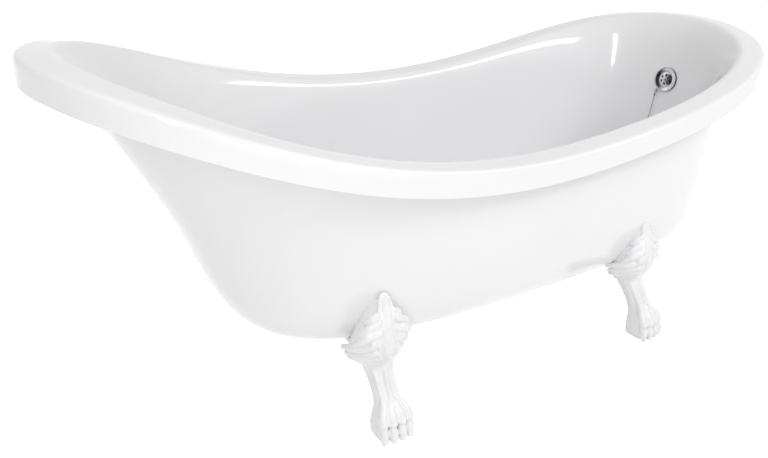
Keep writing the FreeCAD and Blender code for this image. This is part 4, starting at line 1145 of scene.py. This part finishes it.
def set_room(stage):
    """White all round where it is seen, and a softer light, dimmer from the two ends, on the bath."""
    scene = bpy.context.scene
    scene.view_settings.view_transform = "Standard"
    world = bpy.data.worlds.new("Studio Room")
    scene.world = world
    world.use_nodes = True
    tree = world.node_tree
    back = tree.nodes["Background"]
    back.inputs["Color"].default_value = (1.0, 1.0, 1.0, 1.0)
    direction = tree.nodes.new("ShaderNodeTexCoord").outputs["Generated"]
    split = tree.nodes.new("ShaderNodeSeparateXYZ")
    tree.links.new(direction, split.inputs["Vector"])
    endways = arithmetic(tree, "MULTIPLY", split.outputs["X"], split.outputs["X"])
    dimming = arithmetic(tree, "MULTIPLY_ADD", endways, -stage.end_dimming, 1.0)
    lit = arithmetic(tree, "MULTIPLY", dimming, stage.room)
    seen = directly_seen(tree)
    unseen = arithmetic(tree, "SUBTRACT", 1.0, seen)
    tree.links.new(arithmetic(tree, "MULTIPLY_ADD", lit, unseen, seen), back.inputs["Strength"])


def soft_lamp(name, power, size, place, target):
    clear_selection()
    bpy.ops.object.light_add(type="AREA", location=place)
    lamp = bpy.context.object
    lamp.name = name
    lamp.data.energy = power
    lamp.data.shape = "RECTANGLE"
    lamp.data.size, lamp.data.size_y = size
    lamp.rotation_euler = (Vector(target) - Vector(place)).to_track_quat("-Z", "Y").to_euler()
    return lamp


def set_lamps(stage):
    soft_lamp("Key Lamp", stage.key, *KEY_LAMP)
    soft_lamp("Strip Lamp", stage.strip, *STRIP_LAMP)
    soft_lamp("Low Fill", stage.low_fill, *LOW_FILL_LAMP)


# ---- shells ----

class BATH_OT_inner_basin(bpy.types.Operator):
    """Draws up the inner shell with its rolled rim and cuts the overflow's and the waste's holes"""
    bl_idname = "bath.inner_basin"
    bl_label = "Inner basin"

    def execute(self, context):
        loops = surface_loops(basin_rows(), *BASIN_STEPS)
        basin = drawn_up("inner_basin_shell", loops[::-1], last_cap=True)
        face_up(basin, Vector((0.0, 0.0, 1.0)))
        modified(basin, "SOLIDIFY", thickness=context.scene.bath_shell.wall, offset=-1.0,
                 use_even_offset=True)
        cut(basin, settle(rod("overflow_cutter", OVERFLOW_HOLE_RADIUS, OVERFLOW_CUT), overflow_place(loops)))
        cut(basin, rod("waste_cutter", WASTE_HOLE_RADIUS, WASTE_CUT, x=WASTE_X))
        smooth(basin, SHELL_CREASE)
        finished(basin, "bath", "acrylic", acrylic(), "inner_basin")
        return {"FINISHED"}


class BATH_OT_outer_skin(bpy.types.Operator):
    """Draws up the outer skin to its ledge under the roll"""
    bl_idname = "bath.outer_skin"
    bl_label = "Outer skin"

    def execute(self, context):
        wall = context.scene.bath_shell.wall
        loops = surface_loops(skin_rows(), *SKIN_STEPS)
        ledge = round_curve(eased_out(rim_row(wall / MM + BOND_GAP, SKIN_LEDGE_DROP)), SKIN_STEPS[1])
        skin = drawn_up("outer_skin_shell", [ledge] + loops[::-1], last_cap=True)
        face_up(skin, Vector((0.0, 0.0, -1.0)))
        modified(skin, "SOLIDIFY", thickness=wall, offset=-1.0, use_even_offset=True)
        access = [GROUND_CLEARANCE + offset for offset in ACCESS_CUT]
        cut(skin, rod("access_cutter", ACCESS_RADIUS, access, x=WASTE_X))
        smooth(skin, SHELL_CREASE)
        finished(skin, "bath", "acrylic", acrylic(), "outer_skin")
        return {"FINISHED"}


def hull_form():
    """The closed space inside the skin's outside, for fitting the feet against it."""
    loops = surface_loops(skin_rows(), *HULL_STEPS)
    lid = np.array(loops[-1])
    lid[:, 2] = max(RIM_HEIGHTS)
    form = drawn_up("hull_form", [lid] + loops[::-1], last_cap=True, first_cap=True)
    return tidy_normals(form)


# ---- feet ----

def section_loop(height, centre, depth, width, squareness):
    turns = np.arange(SECTION_POINTS) * 2 * math.pi / SECTION_POINTS
    x = centre + depth / 2 * signed_power(np.cos(turns), 2 / squareness)
    y = width / 2 * signed_power(np.sin(turns), 2 / squareness)
    return np.stack([x, y, np.full(SECTION_POINTS, height)], axis=1)


def column(name, sections):
    """A closed body through oval sections, given from below."""
    rows = [section_loop(*section) for section in sections]
    body = drawn_up(name, surface_loops(rows, *COLUMN_STEPS), first_cap=True, last_cap=True)
    return tidy_normals(body)


def ridge(name, points):
    """A tapering round ridge along given points."""
    clear_selection()
    bpy.ops.curve.primitive_nurbs_path_add()
    line = bpy.context.object
    line.name = name
    spline = line.data.splines[0]
    ends = [points[0]] + list(points) + [points[-1]]
    if len(ends) > len(spline.points):
        spline.points.add(len(ends) - len(spline.points))
    for point, (outwards, sideways, height, radius) in zip(spline.points, ends):
        point.co = (outwards * MM, sideways * MM, height * MM, 1.0)
        point.radius = radius
    spline.order_u = 3
    spline.use_endpoint_u = True
    spline.resolution_u = 8
    line.data.bevel_depth = MM
    line.data.bevel_resolution = 4
    line.data.use_fill_caps = True
    make_active(line)
    bpy.ops.object.convert(target="MESH")
    knobs = [line]
    for outwards, sideways, height, radius in (points[0], points[-1]):
        knobs.append(primitive(bpy.ops.mesh.primitive_uv_sphere_add, name, segments=KNOB_GRID[0],
                               ring_count=KNOB_GRID[1], radius=radius * MM,
                               location=(outwards * MM, sideways * MM, height * MM)))
    return joined(name, knobs)


def toe_points(table, side):
    lead = TOE_LEAD * (1 - (side / TOE_SIDES[-1]) ** 2)
    return [(outwards + lead, share * side, height, radius) for outwards, share, height, radius in table]


def foot_casting():
    """One claw foot, drawn about its heel line with +X outwards."""
    inner, outer, width, thickness = PAD_BOX
    pad_low = GROUND_CLEARANCE - BOND_GAP - thickness
    forms = [
        column("heel", HEEL_SECTIONS), column("leg", LEG_SECTIONS), column("shield", SHIELD_SECTIONS),
        slab("pad", (outer - inner, width, thickness), ((inner + outer) / 2, 0.0, pad_low + thickness / 2)),
        ridge("front_ridge", FRONT_RIDGE),
    ]
    for points in SIDE_RIDGES:
        forms.append(ridge("petal", points))
        forms.append(ridge("petal", [(out, -side, height, radius) for out, side, height, radius in points]))
    for side in TOE_SIDES:
        forms.append(ridge("toe", toe_points(TOE_RIDGE, side)))
        forms.append(ridge("claw", toe_points(TOE_TIP, side)))
    casting = joined("foot_casting", forms)
    grain = bpy.context.scene.bath_feet.grain
    modified(casting, "REMESH", mode="VOXEL", voxel_size=grain)
    modified(casting, "SMOOTH", factor=SMOOTHING, iterations=SMOOTHING_ROUNDS)
    return cut(casting, slab("floor_cutter", FLOOR_CUTTER, (0.0, 0.0, -FLOOR_CUTTER[2] / 2)))


def foot_place(x, spread, splay):
    """A near foot's place at this heel line, its toes turned this far towards the drain end."""
    turn = math.radians(-90) + splay
    return Matrix.Translation((x, -spread / 2, 0.0)) @ Matrix.Rotation(turn, 4, "Z")


class BATH_OT_feet(bpy.types.Operator):
    """Models one cast claw foot, fits it under the hull and copies it to all four places"""
    bl_idname = "bath.feet"
    bl_label = "Claw feet"

    def execute(self, context):
        feet = context.scene.bath_feet
        casting = foot_casting()
        hull = hull_form()
        ends = {
            "foot_head": foot_place(feet.head_x, feet.head_spread, -feet.head_splay),
            "foot_drain": foot_place(feet.drain_x, feet.drain_spread, feet.drain_splay),
        }
        cast = {}
        for end, place in ends.items():
            near = settle(twin(casting, end + "_near_casting"), place)
            cut(near, twin(hull, "hull_cutter"))
            keep_largest(near)
            far = mirrored(near, end + "_far_casting")
            keep_largest(far)
            cast[end + "_near"] = near
            cast[end + "_far"] = far
        for node, foot in cast.items():
            smooth(foot, FOOT_CREASE)
            finished(foot, "bath", "foot_enamel", enamel(), node)
        bpy.data.objects.remove(casting)
        bpy.data.objects.remove(hull)
        return {"FINISHED"}


def keep_largest(body):
    """Drops loose crumbs that fitting may leave."""
    make_active(body)
    mode("EDIT")
    drawing = bmesh.from_edit_mesh(body.data)
    drawing.verts.ensure_lookup_table()
    seen = set()
    largest = []
    for start in drawing.verts:
        if start.index in seen:
            continue
        island = [start]
        seen.add(start.index)
        for vertex in island:
            for edge in vertex.link_edges:
                other = edge.other_vert(vertex)
                if other.index not in seen:
                    seen.add(other.index)
                    island.append(other)
        if len(island) > len(largest):
            largest = island
    kept = {vertex.index for vertex in largest}
    for vertex in drawing.verts:
        vertex.select_set(vertex.index not in kept)
    drawing.select_flush_mode()
    bmesh.update_edit_mesh(body.data)
    if len(kept) < len(drawing.verts):
        bpy.ops.mesh.delete(type="VERT")
    mode("OBJECT")


# ---- overflow, waste and plug ----

def clasp(name, place):
    """A loop and the barrel that grips the chain's last bead, along the place's own +X."""
    profile = eased([
        (0.0, 0.0), (CLASP_RADIUS * CLASP_MOUTH, 0.0), (CLASP_RADIUS, CLASP_CHAMFER),
        (CLASP_RADIUS, CLASP_LENGTH - CLASP_CHAMFER), (CLASP_RADIUS * CLASP_TAIL, CLASP_LENGTH),
        (0.0, CLASP_LENGTH)], CLASP_EASE)
    barrel = turned(name, profile, CLASP_POINTS)
    turn = Matrix.Translation((CLASP_LOOP_RADIUS * MM, 0, 0)) @ Matrix.Rotation(math.radians(90), 4, "Y")
    smooth(settle(barrel, turn), CLASP_CREASE)
    loop = hoop(name, CLASP_LOOP_RADIUS, CLASP_LOOP_WIRE, Matrix.Identity(4))
    return settle(joined(name, [barrel, loop]), place)


def screw_head(name):
    """A domed head with a driver's slot, seated on its own zero height."""
    profile = eased([
        (SCREW_RADIUS, -SCREW_SINK), (SCREW_RADIUS, SCREW_HEIGHT * SCREW_SHOULDER),
        (SCREW_RADIUS * SCREW_CROWN, SCREW_HEIGHT), (0.0, SCREW_HEIGHT)], SCREW_EASE)
    head = turned(name, [(0.0, -SCREW_SINK)] + profile, BOSS_POINTS)
    cut(head, slab("slot_cutter", (SCREW_RADIUS * 3, SCREW_SLOT, SCREW_HEIGHT), (0.0, 0.0, SCREW_HEIGHT)))
    return smooth(head, SCREW_CREASE)


class BATH_OT_overflow(bpy.types.Operator):
    """Turns the dished overflow faceplate with its grille, screw, chain ring and clasp"""
    bl_idname = "bath.overflow"
    bl_label = "Overflow"

    def execute(self, context):
        place = overflow_place(surface_loops(basin_rows(), BASIN_STEPS[0], 1))
        radius = context.scene.bath_fittings.faceplate_radius / MM
        plate = settle(faceplate(radius), place)
        finished(plate, "bath", "chrome", chrome(), "overflow_faceplate")
        seat = Matrix.Translation((0, 0, (FACEPLATE_STAND + GRILLE_CROWN) * MM))
        screw = settle(screw_head("overflow_screw_head"), place @ seat)
        finished(screw, "bath", "chrome", chrome(), "overflow_screw")
        angle = math.radians(STAY_ANGLE)
        reach = radius + STAY_REACH
        height = FACEPLATE_STAND - STAY_LUG_DEPTH / 2
        eye = Vector((reach * math.cos(angle), -reach * math.sin(angle), height))
        upright = Matrix.Rotation(math.radians(90), 4, "X")
        ring_middle = eye + Vector((STAY_RING_RADIUS, 0, 0))
        ring = hoop("stay_ring_wire", STAY_RING_RADIUS, STAY_RING_WIRE,
                    place @ Matrix.Translation(ring_middle * MM) @ upright)
        finished(ring, "bath", "chrome", chrome(), "stay_ring")
        end = eye + Vector((2 * STAY_RING_RADIUS, 0, 0))
        grip = clasp("stay_clasp_grip", place @ Matrix.Translation(end * MM))
        finished(grip, "bath", "chrome", chrome(), "stay_clasp")
        return {"FINISHED"}


def faceplate(radius):
    """Dished ring, domed grille with its holes, and the chain's lug."""
    stand = FACEPLATE_STAND
    dish = stand - FACEPLATE_DISH
    profile = eased([
        (radius, -FACEPLATE_SKIRT), *shifted(FACEPLATE_ROLL, radius, stand),
        *shifted(DISH_EDGE, radius, dish), *shifted(GRILLE_FOOT, GRILLE_RADIUS, dish),
        *domed(GRILLE_DOME, GRILLE_RADIUS, stand),
        (GRILLE_EYE_RADIUS, stand + GRILLE_CROWN)], FACEPLATE_EASE)
    plate = drawn_up("overflow_plate", [circle_loop(r, z, PLATE_POINTS) for r, z in profile])
    face_up(plate, Vector((0.0, 0.0, 1.0)))
    modified(plate, "SOLIDIFY", thickness=FACEPLATE_SHEET * MM, offset=-1.0)
    tidy_normals(plate)
    through = (GRILLE_CUT[0], stand + GRILLE_CUT[1])
    for index in range(GRILLE_HOLES):
        angle = 2 * math.pi * index / GRILLE_HOLES
        cut(plate, rod("grille_cutter", GRILLE_HOLE_RADIUS, through, SMALL_POINTS,
                       GRILLE_HOLE_CIRCLE * math.cos(angle), GRILLE_HOLE_CIRCLE * math.sin(angle)))
    angle = math.radians(-STAY_ANGLE)
    reach = radius + STAY_REACH
    foot = stand - STAY_LUG_DEPTH
    lug = turned("lug", eased([
        (STAY_EYE_RADIUS, foot), (STAY_LUG_RADIUS, foot), (STAY_LUG_RADIUS, stand),
        (STAY_EYE_RADIUS, stand)], STAY_LUG_EASE), SMALL_POINTS, closed=True)
    settle(lug, Matrix.Translation((reach * math.cos(angle) * MM, reach * math.sin(angle) * MM, 0)))
    smooth(plate, FITTING_CREASE)
    smooth(lug, FITTING_CREASE)
    return joined("overflow_plate", [plate, lug])


class BATH_OT_waste(bpy.types.Operator):
    """Turns the waste flange with its strainer"""
    bl_idname = "bath.waste"
    bl_label = "Waste"

    def execute(self, context):
        top = flange_top()
        floor = floor_height(WASTE_X)
        profile = eased([
            (FLANGE_SPIGOT_RADIUS, SPIGOT_FOOT), (FLANGE_SPIGOT_RADIUS, floor - FLANGE_SEAT),
            (FLANGE_RADIUS, floor - FLANGE_SEAT), *shifted(FLANGE_EDGE, FLANGE_RADIUS, top),
            *shifted(FLANGE_MOUTH, FLANGE_THROAT_RADIUS, top), (FLANGE_THROAT_RADIUS, SPIGOT_FOOT)],
            FLANGE_EASE)
        flange = turned("waste_flange_ring", profile, PLATE_POINTS, closed=True)
        parts = [smooth(flange, FITTING_CREASE)]
        span = FLANGE_THROAT_RADIUS + FLANGE_SPIGOT_RADIUS
        for index in range(STRAINER_BARS):
            bar = slab("strainer_bar", (span, STRAINER_BAR, STRAINER_BAR),
                       (0.0, 0.0, SPIGOT_FOOT + STRAINER_BAR / 2), STRAINER_EASE)
            settle(bar, Matrix.Rotation(math.pi * index / STRAINER_BARS, 4, "Z"))
            parts.append(smooth(bar, FITTING_CREASE))
        boss_top = SPIGOT_FOOT + STRAINER_BAR
        boss = turned("strainer_boss", [(0.0, SPIGOT_FOOT)] + eased([
            (STRAINER_BOSS_RADIUS, SPIGOT_FOOT), (STRAINER_BOSS_RADIUS, boss_top), (0.0, boss_top)],
            STRAINER_BOSS_EASE), BOSS_POINTS)
        parts.append(smooth(boss, FITTING_CREASE))
        ring = joined("waste_flange_ring", parts)
        settle(ring, Matrix.Translation((WASTE_X * MM, 0, 0)))
        finished(ring, "bath", "chrome", chrome(), "waste_flange")
        return {"FINISHED"}


def flange_top():
    return floor_height(WASTE_X) + BOND_GAP + FLANGE_THICKNESS


class BATH_OT_plug(bpy.types.Operator):
    """Turns the rubber plug, its chrome cap, ring and clasp"""
    bl_idname = "bath.plug"
    bl_label = "Plug"

    def execute(self, context):
        seat = flange_top() + BOND_GAP
        over_waste = Matrix.Translation((WASTE_X * MM, 0, 0))
        tip = PLUG_RADIUS - PLUG_TAPER
        foot = seat - PLUG_DEPTH
        stopper = turned("plug_rubber", [(0.0, foot)] + eased([
            (tip - PLUG_TIP, foot), (tip, foot + PLUG_TIP), *shifted(PLUG_LIP, PLUG_RADIUS, seat),
            (0.0, seat)], PLUG_EASE), PLUG_POINTS)
        settle(smooth(stopper, FITTING_CREASE), over_waste)
        finished(stopper, "plug", "black_rubber", rubber(), "plug_stopper")
        top = seat + PLUG_CAP_THICKNESS
        cap = turned("plug_cap_dome", [(0.0, seat)] + eased([
            *shifted(PLUG_CAP_EDGE, PLUG_CAP_RADIUS, seat), *domed(PLUG_CAP_DOME, PLUG_CAP_RADIUS, top),
            (0.0, top)], PLUG_CAP_EASE), PLUG_POINTS)
        lug_height = PLUG_EYE_RISE + PLUG_CAP_THICKNESS
        lug = slab("lug", (PLUG_LUG_LENGTH, PLUG_LUG_THICKNESS, lug_height),
                   (0.0, 0.0, seat + lug_height / 2 + PLUG_LUG_LIFT), PLUG_LUG_EASE)
        eye_turn = Matrix.Translation((0, 0, (top + PLUG_EYE_RISE) * MM)) @ Matrix.Rotation(
            math.radians(90), 4, "X")
        half = PLUG_LUG_THICKNESS / 2
        head = turned("lug_head", [(0.0, -half)] + eased([
            (PLUG_LUG_LENGTH / 2, -half), (PLUG_LUG_LENGTH / 2, half), (0.0, half)], PLUG_LUG_EASE),
            SMALL_POINTS)
        settle(head, eye_turn)
        cut(lug, head, "UNION")
        cut(lug, settle(rod("eye_cutter", PLUG_EYE_RADIUS, PLUG_EYE_CUT, CLASP_POINTS), eye_turn))
        cap = joined("plug_cap_dome", [smooth(cap, FITTING_CREASE), smooth(lug, PLUG_LUG_CREASE)])
        settle(cap, over_waste)
        finished(cap, "plug", "chrome", chrome(), "plug_cap")
        dip = math.radians(RING_DIP)
        eye = Vector((WASTE_X, 0, top + PLUG_EYE_RISE))
        reach = Vector((math.cos(dip), 0, -math.sin(dip))) * RING_RADIUS
        ring = hoop("plug_ring_wire", RING_RADIUS, RING_WIRE,
                    Matrix.Translation((eye + reach) * MM) @ Matrix.Rotation(dip, 4, "Y"))
        finished(ring, "plug", "chrome", chrome(), "plug_ring")
        turn = Matrix.Rotation(math.radians(90), 4, "X")
        grip = clasp("plug_clasp_grip", Matrix.Translation((eye + reach * 2) * MM) @ turn)
        finished(grip, "plug", "chrome", chrome(), "plug_clasp")
        return {"FINISHED"}


# ---- bead chain ----

class BATH_OT_chain(bpy.types.Operator):
    """Strings the bead chain along its route from the overflow to the plug"""
    bl_idname = "bath.chain"
    bl_label = "Bead chain"

    def execute(self, context):
        settings = context.scene.bath_chain
        path = chain_path()
        chain = joined("bead_chain", [chain_wire(path, settings), *chain_beads(path, settings)])
        finished(chain, None, "chrome", chrome(), "plug_chain")
        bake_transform(chain)
        return {"FINISHED"}


def chain_path():
    """Points of the chain's smooth line."""
    line = bpy.data.curves.new("chain_line", "CURVE")
    line.dimensions = "3D"
    spline = line.splines.new("NURBS")
    spline.points.add(len(CHAIN_ROUTE) - 1)
    for point, place in zip(spline.points, CHAIN_ROUTE):
        point.co = (*place, 1.0)
    spline.order_u = 3
    spline.use_endpoint_u = True
    spline.resolution_u = 16
    carrier = bpy.data.objects.new("chain_line", line)
    bpy.context.collection.objects.link(carrier)
    mesh = bpy.data.meshes.new_from_object(carrier)
    points = np.array([vertex.co[:] for vertex in mesh.vertices])
    bpy.data.objects.remove(carrier)
    bpy.data.meshes.remove(mesh)
    return points


def spaced(path, pitch):
    """Points at even steps along a line."""
    steps = np.linalg.norm(np.diff(path, axis=0), axis=1)
    along = np.concatenate([[0.0], np.cumsum(steps)])
    count = int(along[-1] / pitch)
    marks = np.linspace(0.0, along[-1], count + 1)
    return np.stack([np.interp(marks, along, path[:, axis]) for axis in range(3)], axis=1)


def chain_wire(path, settings):
    clear_selection()
    bpy.ops.curve.primitive_nurbs_path_add()
    wire = bpy.context.object
    wire.name = "chain_wire"
    spline = wire.data.splines[0]
    spline.points.add(len(path) - len(spline.points))
    for point, place in zip(spline.points, path):
        point.co = (*place, 1.0)
    spline.order_u = 3
    spline.use_endpoint_u = True
    spline.resolution_u = 2
    wire.data.bevel_depth = settings.wire / 2
    wire.data.bevel_resolution = 2
    wire.data.use_fill_caps = True
    make_active(wire)
    bpy.ops.object.convert(target="MESH")
    return smooth(bpy.context.object, WIRE_CREASE)


def chain_beads(path, settings):
    places = spaced(path, settings.pitch)
    first = primitive(bpy.ops.mesh.primitive_uv_sphere_add, "bead", segments=BEAD_GRID[0],
                      ring_count=BEAD_GRID[1], radius=settings.bead / 2)
    smooth(first, BEAD_CREASE)
    beads = [first] + [twin(first, "bead") for _ in places[1:]]
    for bead, place in zip(beads, places):
        bead.location = place
    return beads


# ---- structure and plumbing ----

class BATH_OT_hidden_parts(bpy.types.Operator):
    """Gives the structure and the plumbing between the shells their finishes"""
    bl_idname = "bath.hidden_parts"
    bl_label = "Structure and plumbing"

    def execute(self, context):
        finishes = {
            "base_board": plywood(), "mounting_blocks": plywood(), "foot_bolts": zinc_steel(),
            "foot_washers": zinc_steel(), "foot_inserts": brass(), "overflow_seal": rubber(),
            "overflow_body": moulded_plastic(), "overflow_hose": hose_plastic(), "hose_clips": zinc_steel(),
            "waste_screw": chrome(), "waste_seal": rubber(), "waste_body": moulded_plastic(),
        }
        for node, material in finishes.items():
            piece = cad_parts[node]
            for slot in piece.material_slots:
                slot.material = material
        return {"FINISHED"}


class BATH_PT_pieces(bpy.types.Panel):
    """Lists the bath's operators"""
    bl_idname = "BATH_PT_pieces"
    bl_label = "Slipper bath"
    bl_space_type = "VIEW_3D"
    bl_region_type = "UI"
    bl_category = "Bath"

    def draw(self, context):
        for operator in OPERATORS:
            self.layout.operator(operator.bl_idname)


SETTINGS = (
    ("bath_shell", BathShellSettings),
    ("bath_feet", BathFootSettings),
    ("bath_fittings", BathFittingSettings),
    ("bath_chain", BathChainSettings),
    ("bath_stage", BathStageSettings),
)
OPERATORS = (BATH_OT_stage, BATH_OT_inner_basin, BATH_OT_outer_skin, BATH_OT_feet, BATH_OT_overflow,
             BATH_OT_waste, BATH_OT_plug, BATH_OT_chain, BATH_OT_hidden_parts)


def register():
    for name, group in SETTINGS:
        bpy.utils.register_class(group)
        setattr(bpy.types.Scene, name, bpy.props.PointerProperty(type=group))
    for operator in OPERATORS:
        bpy.utils.register_class(operator)
    bpy.utils.register_class(BATH_PT_pieces)


def unregister():
    bpy.utils.unregister_class(BATH_PT_pieces)
    for operator in reversed(OPERATORS):
        bpy.utils.unregister_class(operator)
    for name, group in reversed(SETTINGS):
        delattr(bpy.types.Scene, name)
        bpy.utils.unregister_class(group)


def main():
    """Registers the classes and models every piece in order."""
    register()
    bpy.ops.bath.stage()
    bpy.ops.bath.inner_basin()
    bpy.ops.bath.outer_skin()
    bpy.ops.bath.feet()
    bpy.ops.bath.overflow()
    bpy.ops.bath.waste()
    bpy.ops.bath.plug()
    bpy.ops.bath.chain()
    bpy.ops.bath.hidden_parts()


if __name__ == "__main__":
    main()
